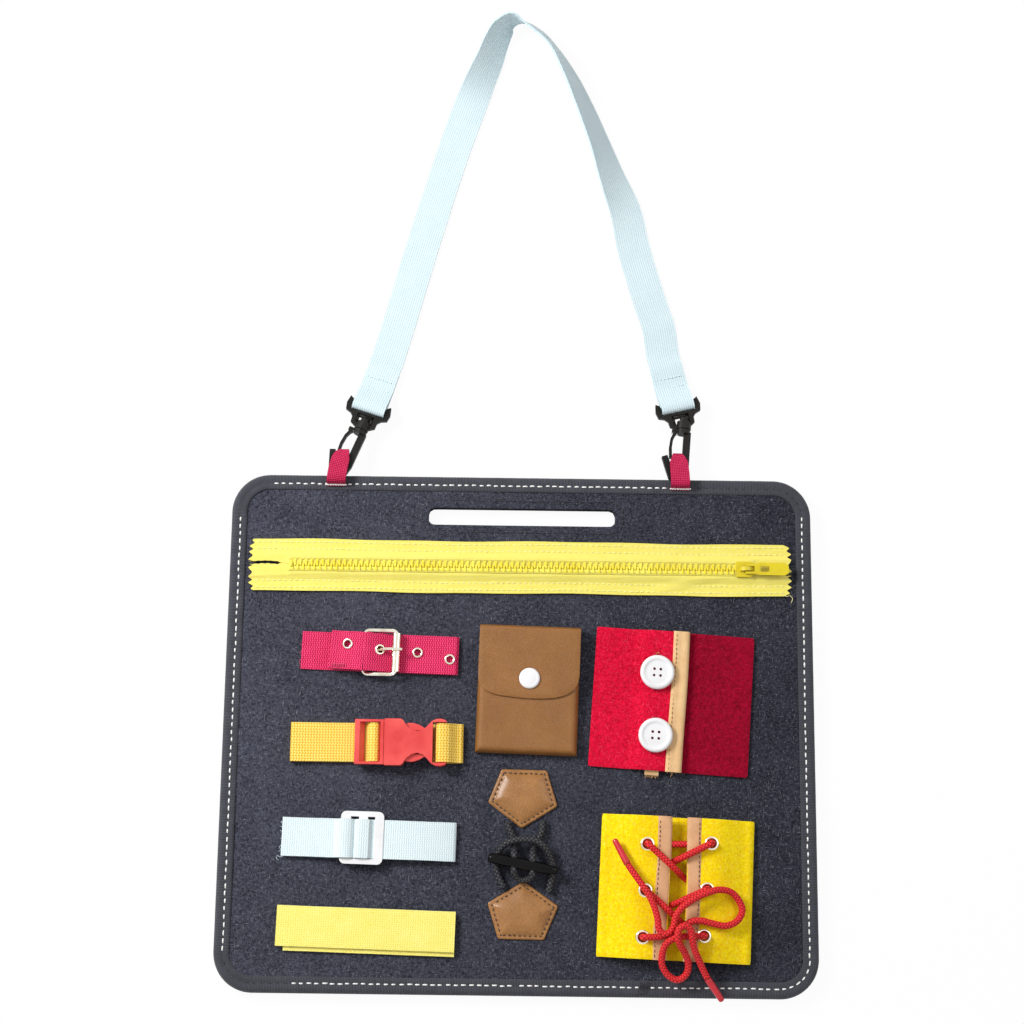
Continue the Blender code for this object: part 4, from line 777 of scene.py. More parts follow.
def cloth_plate(outline, holes, low, high, cell, lift, matrix, edge):
    """A sheet of cloth that follows an outline, with soft edges and a lift at each place."""
    xs, ys = [p[0] for p in outline], [p[1] for p in outline]
    left, bottom = min(xs), min(ys)
    columns = max(2, math.ceil((max(xs) - left) / cell))
    rows = max(2, math.ceil((max(ys) - bottom) / cell))
    wide, tall = (max(xs) - left) / columns, (max(ys) - bottom) / rows
    kept = []
    for i in range(columns):
        for j in range(rows):
            x, y = left + (i + 0.5) * wide, bottom + (j + 0.5) * tall
            if inside(x, y, outline) and not any(inside(x, y, hole) for hole in holes):
                kept.append((i, j))
    filled = set(kept)
    edges = []
    for i, j in kept:
        for di, dj, one, two in CELL_SIDES:
            if (i + di, j + dj) not in filled:
                edges.append(((i + one[0], j + one[1]), (i + two[0], j + two[1])))
    border = {key for pair in edges for key in pair}
    shape = new_shape()
    tops, lows = {}, {}
    for i, j in kept:
        keys = ((i, j), (i + 1, j), (i + 1, j + 1), (i, j + 1))
        for key in keys:
            if key in tops:
                continue
            x, y = left + key[0] * wide, bottom + key[1] * tall
            if key in border:
                x, y = min((nearest(x, y, loop) for loop in [outline, *holes]), key=lambda found: found[0])[1]
            up = lift(x, y)
            soft = edge if key in border else 0
            tops[key] = shape.verts.new(mm(x, y, high + up - soft))
            lows[key] = shape.verts.new(mm(x, y, low + (up if low > 0.5 else 0) + soft * 0.3))
        shape.faces.new([tops[k] for k in keys])
        shape.faces.new([lows[k] for k in reversed(keys)])
    for a, b in edges:
        shape.faces.new((tops[a], lows[a], lows[b], tops[b]))
    lay_uvs(shape)
    return finished(shape, matrix, 60)


def swell(x, y):
    """The board's slow waves, which stay below what lies on it."""
    return (
        0.16 * math.sin(x / 31 + 0.4) * math.cos(y / 27 - 0.8) + 0.1 * math.sin(x / 13 - y / 17) - 0.24
        + 0.05 * math.sin(x / 5.1) * math.sin(y / 6.3)
    )


def sweep(outline, profile, ripple):
    """A closed profile of inset and height, swept round a closed outline, with lengths as UVs."""
    loops = [inset(outline, depth) for depth, _ in profile]
    lengths = run_lengths(outline + outline[:1])
    shape = new_shape()
    rings = []
    for i in range(len(outline)):
        lift = ripple(lengths[i])
        rings.append([
            shape.verts.new(mm(*loops[k][i], height + (lift if height > 4 else -lift * 0.3)))
            for k, (_, height) in enumerate(profile)
        ])
    bridge(shape, rings, lambda i, k: (lengths[i] * MM, k * MM), around=True)
    return finished(shape, None, 70)


BINDING = (
    (9.1, 7.15), (8.9, 7.5), (8.1, 7.75), (7, 7.8), (6.1, 7.62), (5.5, 7.5), (4.9, 7.65), (3.8, 7.95),
    (2.4, 7.95), (1.2, 7.5), (0.35, 6.4), (0, 4.8), (0, 2.8), (0.3, 1.2), (1.1, 0.35), (2.4, 0.1), (9, 0.1),
    (9.1, 0.5), (2.6, 0.9), (1.3, 2.2), (1.3, 5.4), (2.6, 6.7), (8.9, 6.85),
)
SEAM_STEP = 1.5


def make_board():
    rim = inset(OUTLINE, 1.3)
    for name, low, high, cell, lift, edge in (
        ("front", 4.6, 7.1, 2.6, swell, 0.3),
        ("back", 0.05, 2.5, 3.4, lambda x, y: 0.0, 0.25),
    ):
        mesh = cloth_plate(rim, [SLOT], low, high, cell, lift, None, edge)
        cloth = piece("felt_" + name, mesh, NAVY_FELT, "board", name + "_felt")
    repaint(BOARD_CORE, "stiffener_board")

    def ripple(s):
        return 0.09 * math.sin(s / 3.3) + 0.06 * math.sin(s / 1.1 + 2)

    edge = sweep(along(OUTLINE, 2.2), BINDING, ripple)
    piece("binding", edge, NAVY_TAPE, "board", "edge_binding")

    line = along(inset(OUTLINE, 5.5), SEAM_STEP)
    start = next(i for i, p in enumerate(line) if p[1] < 0 and p[0] > 0)
    line = line[start:] + line[:start]
    total = run_lengths(line + line[:1])[-1]

    def share(x, y):
        best = min(range(len(line)), key=lambda i: (line[i][0] - x) ** 2 + (line[i][1] - y) ** 2)
        return best * SEAM_STEP / total

    gaps = [
        sorted((share(84, 141), share(162, 128))),
        sorted((share(-162, 118), share(-145, 141))),
        sorted((share(-159, -128), share(-118, -141))),
        sorted((share(66, -141), share(72, -141))),
    ]
    seam = stitches(line, BOARD, 4.25, 3.2, 0.42, 0.78, 0.5, 0.14, 5, True, gaps)
    piece("binding_stitches", seam, WHITE_THREAD)
    for number, gap in enumerate((gaps[0], gaps[2])):
        first, last = [int(end * total / SEAM_STEP) for end in gap]
        dark = stitches(line[first:last], BOARD, 4.25, 2.7, 0.26, 0.62, 0.5, 0.14, 9)
        piece("binding_stitches_dark_%d" % number, dark, BLACK_THREAD)
    rows = []
    for x in [66.2 + 1.1 * k for k in range(6)]:
        rows.append([(x, -145.4 + 0.2 * len(rows), 0.85), (x + 1.4, -141.5, 0.9), (x + 2.5, -138.2, 0.75)])
    piece("binding_join_stitches", threads(rows, BOARD, 0.22), BLACK_THREAD)

    line = along(inset(SLOT, -4.2), 1.2)
    piece("slot_stitches", stitches(line, BOARD, 3.3, 2.5, 0.24, 0.08, 0.4, 0.1, 11, True), BLACK_THREAD)


# The tabs, the hooks and the shoulder strap

TAB_ROUTE = (
    (139.7, 8.35, 11, 0), (140.8, 8.5, 11, 0), (141.3, 10.2, 11, 0.1), (142.1, 12.7, 11, 0.2),
    (144.6, 13.8, 11, 0.4), (151, 13.4, 10.8, 1), (156, 12.7, 10, 1.8), (159.3, 12, 6.6, 2.6),
    (160.6, 10.2, 4.6, 3), (160, 8, 4.6, 3), (158, 6.2, 4.8, 2.8), (154, 4.4, 6.4, 1.8), (150, 2.6, 9, 0.7),
    (147.8, 1, 10.4, 0), (146.2, 0.65, 10.4, 0), (140.6, 0.65, 10.4, 0),
)


def make_tabs():
    for side, x, lean, seed in (("left", -107.6, 4.9, 1), ("right", 91.9, -2, 2)):
        route = [(x + share / 3 * lean, y, z) for y, z, _, share in TAB_ROUTE]
        widths = [width for _, _, width, _ in TAB_ROUTE]
        mesh = strip(route, widths, 1.25, None, 0.7, 0.04, seed, 12, sides=[(1, 0, 0)] * len(route))
        tab = piece("tab_webbing_" + side, mesh, TAB_WEB, None, "tab_" + side)
        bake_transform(tab)
        rows = [(x - 5.9 + 0.75 * k, 140.25 + (0.3 if k % 2 else -0.3), 2.15) for k in range(17)]
        piece("tab_stitches_" + side, loose_thread(rows, BOARD, 0.42), WHITE_THREAD)


def hook_frame(side):
    """The frame of a hook's swivel."""
    x, y, turn, lean = HOOKS[side]
    return moved(x, y, 7.3) @ spin(turn, "Z") @ spin(-5.8, "X") @ spin(lean, "Z")


HOOKS = {"left": (-94.2, 173.4, -21.5, 4), "right": (94.2, 176, -4.2, 17.8)}
TAIL_RUN = ((40, 0.65), (27, 0.65), (21, 1.6))
STRAP_FOLD = (
    (15.5, -2.6), (13.4, -2.55), (12.15, -1.8), (12, -0.6), (12, 0.6), (12.15, 1.8), (13.4, 2.55),
    (15.5, 2.6),
)
LEG_RUN = ((20, 6.4), (24, 4.2), (28, 2.6), (41, 2.3), (47, 0.65))
STRAP_MIDDLE = (
    (-74.5, 238, 0), (-59.7, 293.6, 0), (-42.8, 352, 0), (-33.5, 380, -6), (-27.2, 396, -28),
    (-22.8, 406.5, -38), (-19, 417.5, -46), (-15, 426, -58), (-10, 431, -80), (-3, 431.5, -111),
    (6.5, 426, -116), (16, 415.7, -113), (27.5, 395.5, -122), (37.4, 372.8, -130), (45.2, 352.4, -136),
    (52.6, 332, -150), (60.6, 312, -169), (65.4, 290, -178), (75.3, 255.5, -180), (79.9, 241.5, -180),
)


def strap_end(side):
    """Points and cross vectors of the strap round a hook's swivel, its level direction and its start."""
    hook = hook_frame(side)
    ahead = (hook.to_3x3() @ Vector((0, 1, 0))).normalized()
    level = Vector((ahead.x, ahead.y, 0)).normalized()
    start = Vector((hook.translation.x, hook.translation.y, 0)) / MM
    runs = [[start + level * w + Vector((0, 0, z)) for w, z in run] for run in (TAIL_RUN, LEG_RUN)]
    fold = [hook @ Vector(mm(0, w, z)) / MM for w, z in STRAP_FOLD]
    across = hook.to_3x3() @ Vector((1, 0, 0))
    return [(point, across) for point in runs[0] + fold + runs[1]], level, start


def make_shoulder_strap():
    ends = {side: strap_end(side) for side in HOOKS}
    points = [Vector((x, y, 0.65 - 9.75 * math.sin(math.radians(twist)))) for x, y, twist in STRAP_MIDDLE]
    middle = []
    for i, (point, row) in enumerate(zip(points, STRAP_MIDDLE)):
        run = points[min(i + 1, len(points) - 1)] - points[max(i - 1, 0)]
        side = run.cross(Vector((0, 0, 1))).normalized()
        middle.append((point, Matrix.Rotation(math.radians(-row[2]), 3, run) @ side))
    rows = ends["left"][0] + middle + ends["right"][0][::-1]
    mesh = strip([p for p, _ in rows], STRAP_WIDTH, 1.2, None, 1.6, 0.05, 4, 16, sides=[s for _, s in rows])
    piece("shoulder_webbing", mesh, STRAP_WEB, "strap", "shoulder_strap")
    for name, (_, run, start) in ends.items():
        across = Vector((run.y, -run.x, 0))
        seams = []
        for w, top in ((27.6, 3.35), (33.5, 3.15)):
            line = [tuple(start + run * w + across * v + Vector((0, 0, top))) for v in (-8.6, -4, 0, 4, 8.6)]
            seams.append(stitches(line, None, 2.3, 1.8, 0.2, 0.12, 0.25, 0.1, 7))
        piece("strap_end_stitches_" + name, joined(seams), BLUE_THREAD, "strap")


def repaint(material, *nodes):
    for name in nodes:
        data = NODES[name].data
        data.materials.clear()
        data.materials.append(material)


def soften(width, *nodes, segments=2):
    """Rounds the sharp edges of these nodes by a bevel this wide, in millimetres."""
    for name in nodes:
        bevel = NODES[name].modifiers.new("round", "BEVEL")
        bevel.width = width * MM
        bevel.segments = segments
        bevel.limit_method = "ANGLE"
        bevel.angle_limit = math.radians(32)
        bevel.harden_normals = False


SWIVEL_WEB = (((-5.3, 3.5), (-3.5, 9.8)), ((2.9, 3.5), (5.3, 9.8)), ((-5.3, 7.5), (5.3, 9.8)))


def make_hooks():
    stems = ("snap_hook_", "hook_gate_", "swivel_frame_")
    hooks, gates, frames = [[stem + side for side in HOOKS] for stem in stems]
    repaint(BLACK_PLASTIC, *hooks, *gates, *frames)
    soften(0.45, *hooks, *frames)
    soften(0.3, *gates)
    for side in HOOKS:
        web = boxes([((*low, -0.95), (*high, 0.95)) for low, high in SWIVEL_WEB], 0.3)
        piece("swivel_web_" + side, finished(web, hook_frame(side)), BLACK_PLASTIC, "strap")


# The zip


ZIP_START, ZIP_END, ZIP_COLUMNS = -156.5, 155.7, 260
SPLIT_LEFT, SPLIT_RIGHT = -138.3, 135.7
TAPE_HALF = 0.42
TEETH_START, TEETH_END, TOOTH_PITCH = -133, 129, 3.2
ZIP_TAIL = (
    (150.5, -13.6, 1.3), (152.4, -14.9, 1.2), (154.6, -14.4, 1.0), (156, -16.2, 0.5), (155.2, -18.4, 0.3),
)
TOOTH = ((-0.75, 3.0, 1.35, 3.55, 0.62), (1.5, 3.1, 1.2, 3.75, 0.8))


def zip_spot(sign, phase, share, y):
    """A point of a zip tape, from its share of the length and its distance from the teeth's line."""
    corner = 2 * max(0, (y - 9) / 6) ** 2
    near = ZIP_START + 2.7 * (1 - abs((y / 3.6) % 1 - 0.5) * 2) + corner
    far = ZIP_END - 2.7 * (1 - abs((y / 3.6 + 0.3) % 1 - 0.5) * 2) - corner
    x = near + (far - near) * share
    wave = 0.35 * math.sin(x / 23 + phase[0]) + 0.2 * math.sin(x / 9.5 + phase[1])
    edge = y + max(0, (y - 8) / 7) * wave * 0.8
    rise = 0.8 if y > 8.6 else 0.8 + 1.75 * min(1, (8.6 - y) / 3.4)
    rise += 0.14 * math.sin(x / 6.5 + phase[2]) * (1 - abs(y - 8) / 8)
    if y < 1.6:
        rise -= 0.5 * (1.6 - y)
    if sign < 0 and 70 < x < 132:
        fold = math.sin((x - 70) / 62 * math.pi) * math.sin((x + 4 * y) / 9)
        rise += 0.7 * max(0, fold) * min(1, max(0, (y - 3) / 3))
    if x < -133:
        past = (SPLIT_LEFT - x) / 1.5
        gap = 0.02 if past < 0 else 0.9 * min(1, past) ** 0.5 + 0.18 * math.sin(x * 1.7)
        middle, blend = 1.1 + 0.25 * math.sin(x / 3), (-133 - x) / 3
    elif x > 134:
        gap = 0.6 * min(1, max(0, (x - SPLIT_RIGHT) / 1.5)) ** 0.5 + 0.1 * math.sin(x * 2.1)
        middle, blend = -2.9 + 0.2 * math.sin(x / 2.6), (x - 134) / 2.5
    else:
        return x, sign * edge, rise
    if y < 6:
        edge = y + (sign * middle + gap - y) * min(1, blend) * (6 - y) / 5.88
    return x, sign * edge, min(rise, 1.9)


def make_zip():
    section = [15.1 - 0.55 * k for k in range(27)] + [0.12]
    for sign, side in ((1, "upper"), (-1, "lower")):
        dice = random.Random(31 + sign)
        phase = [dice.uniform(0, 6.28) for _ in range(3)]
        rows = [[zip_spot(sign, phase, i / ZIP_COLUMNS, y) for y in section] for i in range(ZIP_COLUMNS + 1)]
        shape = new_shape()
        grids = []
        for lift in (TAPE_HALF, -TAPE_HALF):
            grids.append([[shape.verts.new(mm(x, y, z + lift)) for x, y, z in row] for row in rows])
        slab(shape, *grids, 0.02)
        mesh = finished(shape, ZIP, 60)
        tape_piece = piece("zip_tape_" + side, mesh, ZIP_TAPE, "board", "zip_stringer_" + side)
        for y in (13.2, 9.2):
            line = [(x, sign * (y + 0.3 * math.sin(x / 23 + phase[0])), 1.3) for x in range(-152, 153, 2)]
            seam = stitches(line, ZIP, 3.2, 2.2, 0.26, 0.16, 0.35, 0.12, 40 + int(y) + sign)
            piece("zip_seam_%d_%s" % (y, side), seam, YELLOW_THREAD)

    corners = []
    for sign, share in ((1, 0.9), (-1, 0.4)):
        x = TEETH_START + TOOTH_PITCH * share + 0.575
        while x + 0.575 < TEETH_END:
            for near, far, low, high, wide in TOOTH:
                one, two = sorted((sign * near, sign * far))
                corners.append(((x - wide, one, low), (x + wide, two, high)))
            x += TOOTH_PITCH
    piece("zip_teeth", finished(boxes(corners, 0.26), ZIP, 60), YELLOW_TEETH)
    cords = []
    for y in (3.3, -3.3):
        line = [(TEETH_START, y, 2.75), (-40, y, 2.8), (60, y, 2.8), (TEETH_END, y, 2.75)]
        cords.append(cord_mesh(line, 0.75, 2.0, 8)[0])
    piece("zip_edge_cords", joined(cords, ZIP), ZIP_TAPE)
    stop = boxes([((-132.7, -2.4, 1.4), (-130.5, 2.4, 4.0))], 0.7, 3)
    piece("zip_bottom_stop", finished(stop, ZIP), YELLOW_TEETH)
    repaint(YELLOW_PAINT, "zip_slider", "zip_puller")
    soften(0.5, "zip_slider")
    soften(0.25, "zip_puller")
    piece("zip_loose_thread", loose_thread(ZIP_TAIL, ZIP), YELLOW_THREAD)


# The belt with its buckle

BASE_ROUTE = (
    (-44.7, 0.95), (-9.2, 0.95), (-7.8, 1.25), (-6.55, 2.4), (-6.55, 3.8), (-7.6, 4.95), (-8.9, 5.25),
    (-12, 5), (-16, 3.4), (-19, 2.55), (-24, 2.55),
)
BELT_TOP_LEFT = ((-28.2, 4.15), (-23, 4.15), (-21.8, 4.3), (-14.6, 6), (-12, 6.75), (-8.9, 6.95))
BELT_TOP_MIDDLE = ((-8.9, 6.95), (-6, 6.6), (1.5, 4.07))
BELT_TOP_RIGHT = ((1.5, 4.07), (5.5, 2.7), (7, 2.55), (42.5, 2.55))
BELT_UNDER = ((42.5, 2.55), (43.6, 2.3), (44.05, 1.75), (43.6, 1.15), (42.9, 0.95), (-4, 0.95))
EYELETS = ((-18.3, 4.0, 5.13, 13.3), (-0.15, 1.55, 4.62, -18.7), (21.3, 0.9, 2.55, 0), (39.8, -2.2, 2.55, 0))


def punch(mesh, cutters):
    """The mesh with round holes cut through it. A cutter is its matrix, its radius and its depth."""
    target = bpy.data.objects.new("punched", mesh)
    bpy.context.scene.collection.objects.link(target)
    helpers = []
    for matrix, radius, depth in cutters:
        shape = bmesh.new()
        bmesh.ops.create_cone(
            shape, cap_ends=True, segments=28, radius1=radius * MM, radius2=radius * MM, depth=depth * MM,
            matrix=matrix,
        )
        tool_mesh = bpy.data.meshes.new("tool")
        shape.to_mesh(tool_mesh)
        shape.free()
        tool = bpy.data.objects.new("tool", tool_mesh)
        bpy.context.scene.collection.objects.link(tool)
        change = target.modifiers.new("hole", "BOOLEAN")
        change.operation = "DIFFERENCE"
        change.solver = "EXACT"
        change.object = tool
        helpers.append(tool)
    bpy.context.view_layer.update()
    result = bpy.data.meshes.new_from_object(target.evaluated_get(bpy.context.evaluated_depsgraph_get()))
    for made in [target, *helpers]:
        bpy.data.objects.remove(made)
    return result


def turned(profile, matrix, steps=40, solid=False):
    """A ring turned about Z from points of radius and height, or a solid body with flat ends."""
    shape = bmesh.new()
    rings = []
    for i in range(steps):
        a = 2 * math.pi * i / steps
        rings.append([shape.verts.new(mm(r * math.cos(a), r * math.sin(a), z)) for r, z in profile])
    bridge(shape, rings, closed=not solid, around=True)
    if solid:
        shape.faces.new([ring[0] for ring in rings])
        shape.faces.new([ring[-1] for ring in rings[::-1]])
    return finished(shape, matrix, 60 if solid else 55)


def eyelet(matrix, bore, barrel, rim, sheet):
    """A rolled eyelet: a domed rim on the cloth and a barrel through it, whose end is flat."""
    top, low = sheet / 2 + 0.25, -sheet / 2 - 0.05
    profile = [
        (bore, low), (bore, top + 0.25), (bore + 0.25, top + 0.52), ((bore + rim) / 2, top + 0.6),
        (rim - 0.3, top + 0.38), (rim, top + 0.08), (rim, top - 0.1), (barrel, top - 0.1), (barrel, low),
    ]
    return turned(profile, matrix)


def make_belt():
    hole = (BELT @ moved(-8.3, 1.55, 3.6) @ spin(90, "Y"), 1.55, 9)
    spots = [BELT @ moved(x, y, z) @ spin(-slope, "Y") for x, y, z, slope in EYELETS]
    holes = [(spot, 2.35, 4) for spot in spots]
    skewed = [(x, 0.9 * max(0, (-9 - x) / 19.2), z) for x, z in BELT_TOP_LEFT]
    made = []
    for name, route, step, ripple, seed, cutters, body, node in (
        ("belt_base_webbing", BASE_ROUTE, 1.2, 0.05, 11, [hole], "board", "belt_base_strap"),
        ("belt_webbing_left", skewed, 1.0, 0.06, 12, holes[:1], "board", "belt_strap"),
        ("belt_webbing_middle", BELT_TOP_MIDDLE, 0.6, 0.0, 13, holes[1:2], None, None),
        ("belt_webbing_right", BELT_TOP_RIGHT, 0.9, 0.0, 14, holes[2:], None, None),
        ("belt_webbing_under", BELT_UNDER, 1.0, 0.04, 15, [], "board", None),
    ):
        mesh = strip(route, BELT_WIDTH, WEB, BELT, step, ripple, seed)
        if cutters:
            mesh = punch(mesh, cutters)
        made.append(piece(name, mesh, RED_WEB, body, node))
    middle, right = made[2:4]
    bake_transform(middle)
    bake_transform(right)
    for number, spot in enumerate(spots, 1):
        body = "buckle" if number == 2 else "board"
        ring = eyelet(spot, 1.9, 2.2, 3.1, 1.3)
        piece("eyelet_%d" % number, ring, NICKEL, body, "belt_eyelet_%d" % number)
    repaint(NICKEL, "belt_buckle_frame", "belt_prong", "belt_roller")
    soften(0.25, "belt_roller")
    dice = random.Random(8)
    tack = []
    for k in range(9):
        x, rise = -27.6 + 1.0 * k, 0.12 * k
        across = (x + 0.9 + dice.uniform(-0.2, 0.2), -8.6, 5.0 + rise)
        tack.append([(x, -10.4, 4.0), across, (x + 0.2, -7.2, 4.9 + rise)])
    piece("belt_tack", threads(tack, BELT, 0.2), RED_THREAD)
    frays = []
    for _ in range(7):
        y = dice.uniform(-10, 10)
        near, far = dice.uniform(-0.4, 0.4), dice.uniform(-0.9, 0.9)
        frays.append([(-44.2, y, 0.9), (-45.1, y + near, 0.9), (-45.7, y + far, 0.6)])
    piece("belt_frays", threads(frays, BELT, 0.11), RED_THREAD)


# The clip


CLIP_BASE = (
    (-48.5, 0.95), (47.2, 0.95), (47.9, 1.2), (48.1, 1.75), (47.8, 2.3), (47, 2.6), (45.5, 2.95), (43, 4.6),
    (40.2, 6.9), (37.6, 7.55), (35.6, 7.55), (34, 6.9), (33.65, 5.5), (34, 4.1), (35.2, 3.45), (38, 3.35),
    (41, 2.7), (43.2, 2.5),
)
CLIP_LEFT = (
    (-48.5, 2.55), (-9, 2.65), (-6, 3.3), (-4.6, 4.9), (-3.9, 6.2), (-2.9, 6.95), (-1.5, 7.15), (0, 6.95),
    (1, 6.2), (1.25, 5.2), (1, 4.1), (0, 3.4), (-2.6, 3.2),
)


def make_clip():
    base = strip(CLIP_BASE, CLIP_WIDTH, WEB, CLIP, 1.0, 0.06, 21)
    piece("clip_webbing_base", base, YELLOW_WEB, "board", "clip_base_strap")
    left = strip(CLIP_LEFT, CLIP_WIDTH, WEB, CLIP, 1.0, 0.06, 22)
    left = piece("clip_webbing_left", left, YELLOW_WEB, None, "clip_strap_left")
    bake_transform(left)
    repaint(CORAL_PLASTIC, "clip_male", "clip_arm_upper", "clip_arm_lower", "clip_female")
    soften(0.7, "clip_female", segments=3)
    soften(0.45, "clip_male", "clip_arm_upper", "clip_arm_lower", segments=3)


# The strap with the sliding buckle, and the strip of hook and loop

GLIDE_FLAT = ((-48.6, 2.55), (47.1, 2.55), (47.8, 2.3), (48, 1.75), (47.8, 1.2), (47.2, 0.95), (-46, 0.95))
GLIDE_HUMP = (
    (-24, 2.2), (-20.5, 2.9), (-17.6, 4.8), (-16.9, 6.4), (-16, 7.05), (-10.4, 7.05), (-9.1, 6.1),
    (-8.2, 4.6), (-7.4, 6.1), (-6.2, 7), (-1.6, 7), (-0.2, 6.8), (0.7, 5.4), (1.2, 4.2), (1.9, 3.1),
    (3.2, 2.5), (5.5, 2.1),
)
GLIDE_TAIL = (
    (-47.5, -10.6, 0.9), (-49.2, -11.4, 0.6), (-50.6, -10.6, 0.4), (-51.2, -12, 0.3), (-49.9, -13, 0.3),
)


def make_glide():
    under = strip(GLIDE_FLAT, GLIDE_WIDTH, WEB, GLIDE, 1.2, 0.07, 31)
    piece("glide_webbing", under, BLUE_WEB, "board", "glide_strap")
    hump = strip(GLIDE_HUMP, GLIDE_WIDTH - 0.1, 1.25, GLIDE, 0.5, 0.0, 32)
    piece("glide_webbing_over", hump, BLUE_WEB, "glide")
    repaint(WHITE_PLASTIC, "tri_glide")
    soften(0.8, "tri_glide", segments=3)
    dice = random.Random(5)
    frays = []
    for _ in range(9):
        y = dice.uniform(-10.2, 10.2)
        z = dice.choice((0.9, 2.5))
        near, far = dice.uniform(-0.5, 0.5), dice.uniform(-1, 1)
        frays.append([(-47.4 if z > 2 else -45.4, y, z), (-48.9, y + near, z), (-49.8, y + far, z - 0.4)])
    meshes = [threads(frays, GLIDE, 0.1), loose_thread(GLIDE_TAIL, GLIDE, 0.12)]
    piece("glide_frays", joined(meshes), BLUE_THREAD)


def make_strip():
    for name, node, body, start, end, shift, middle in (
        ("strip_of_hooks", "hook_strip", "board", -45.1, 49.4, -2.4, 0.95),
        ("strip_of_loops", "loop_strip", "loop_strip", -49.4, 49.4, 0, 2.55),
    ):
        route = [(start + (end - start) * k / 12, shift, middle) for k in range(13)]
        mesh = strip(route, STRIP_WIDTH, 1.25, STRIP, 1.2, 0.05, 41, 18, 0.08)
        piece(name, mesh, LOOP_PILE, body, node)


# The pouch


def grid_shell(rows, thickness, matrix):
    """A curved sheet through rows of points in millimetres. Its depth goes to the side of its back."""
    shape = new_shape()
    bridge(shape, [[shape.verts.new(mm(*point)) for point in row] for row in rows], closed=False)
    lay_uvs(shape)
    bmesh.ops.recalc_face_normals(shape, faces=shape.faces)
    shape.normal_update()
    if sum(face.normal.z for face in shape.faces) < 0:
        bmesh.ops.reverse_faces(shape, faces=shape.faces)
    bmesh.ops.solidify(shape, geom=list(shape.faces), thickness=thickness * MM)
    return finished(shape, matrix, 60)


FLAP_EDGE = (
    (-28.65, 9.3), (-28, 3.8), (-25.4, 0), (-20, -2.7), (-8, -4.3), (4.9, -4.7), (16, -3.7), (23, -1),
    (27.2, 3.2), (28.65, 8.2),
)
BACK_LINE = (
    (-35.2, 1.3), (-20, 1.3), (0, 1.3), (20, 1.3), (33, 1.3), (34.9, 1.5), (35.55, 2.4), (35.65, 4.5),
    (35.6, 6.6), (35.3, 7.1),
)
SNAP_CAP = (
    (0.01, 10.15), (2.2, 10.1), (3.4, 9.95), (3.9, 9.8), (4.4, 9.9), (5.3, 9.7), (5.85, 9.2), (5.9, 8.85),
    (5.4, 8.65), (2.4, 8.6), (2.4, 7.4), (1.9, 7.4), (1.9, 8.9), (0.01, 8.9),
)
POUCH_HALF, POUCH_LOW, POUCH_MOUTH, POUCH_BACK = 28.65, -35.7, 29.4, 35.7
POUCH_FLOOR, POUCH_TOP = 1.35, 7.0


def make_pouch():
    def top(x, y):
        share = min(1, (POUCH_HALF - abs(x)) / 3.2, (y - POUCH_LOW) / 3.2)
        round_edge = math.sqrt(max(0, 1 - (1 - share) ** 2))
        sag = 0.5 * math.exp(-(((x + 4) / 16) ** 2 + ((y + 18) / 12) ** 2)) + 0.12 * math.sin(x / 5 + y / 8)
        return POUCH_FLOOR + (POUCH_TOP - POUCH_FLOOR - sag * share) * round_edge

    xs = [POUCH_HALF * math.sin(math.pi / 2 * (k / 15 - 1)) for k in range(31)]
    ys = [POUCH_LOW + (POUCH_MOUTH - POUCH_LOW) * (1 - math.cos(math.pi / 2 * k / 26)) for k in range(27)]
    front = grid_shell([[(x, y, top(x, y)) for x in xs] for y in ys], 1.0, POUCH)
    front = piece("pouch_front", front, BROWN_LEATHER, "board", "pouch_body")
    back = grid_shell([[(x, y, z) for y, z in BACK_LINE] for x in xs], 0.95, POUCH)
    back = piece("pouch_back", back, BROWN_LEATHER, "board")
    seams = []
    for seed, line in (
        (59, [(-27.4, y) for y in range(-34, 34)]),
        (61, [(27.4, y) for y in range(-34, 34)]),
        (62, [(x, -34.5) for x in range(-27, 28)]),
    ):
        seams.append(stitches(line, None, 2.6, 1.9, 0.17, 3.2, 1.5, 0.1, seed))
    piece("pouch_stitches", joined(seams, POUCH), BROWN_THREAD)

    soft = [tuple(row[:2]) for row in smooth_route([(x, y, 0) for x, y in FLAP_EDGE], 1.5)]
    outline = [(-POUCH_HALF, POUCH_BACK)] + soft + [(POUCH_HALF, POUCH_BACK)]

    def lift(x, y):
        rim = min(1, max(0, (POUCH_BACK - y) / 2.5))
        button = 0.35 * math.exp(-(((x - 0.5) / 7) ** 2 + ((y - 6.5) / 6) ** 2))
        return -0.35 * (1 - math.sqrt(rim)) - button + 0.1 * math.sin(x / 6 + 1) * math.sin(y / 9) + 0.05

    flap = cloth_plate(outline, [], 7.35, 8.45, 1.5, lift, POUCH, 0.35)
    flap = piece("pouch_flap_leather", flap, BROWN_LEATHER, "flap", "pouch_flap")
    cap = turned(SNAP_CAP, POUCH @ moved(0.5, 6.5, 0), 48)
    piece("snap_cap_disc", cap, WHITE_PLASTIC, "flap", "snap_cap")
    repaint(WHITE_PLASTIC, "snap_stud")


# The patches, the cords and the toggle

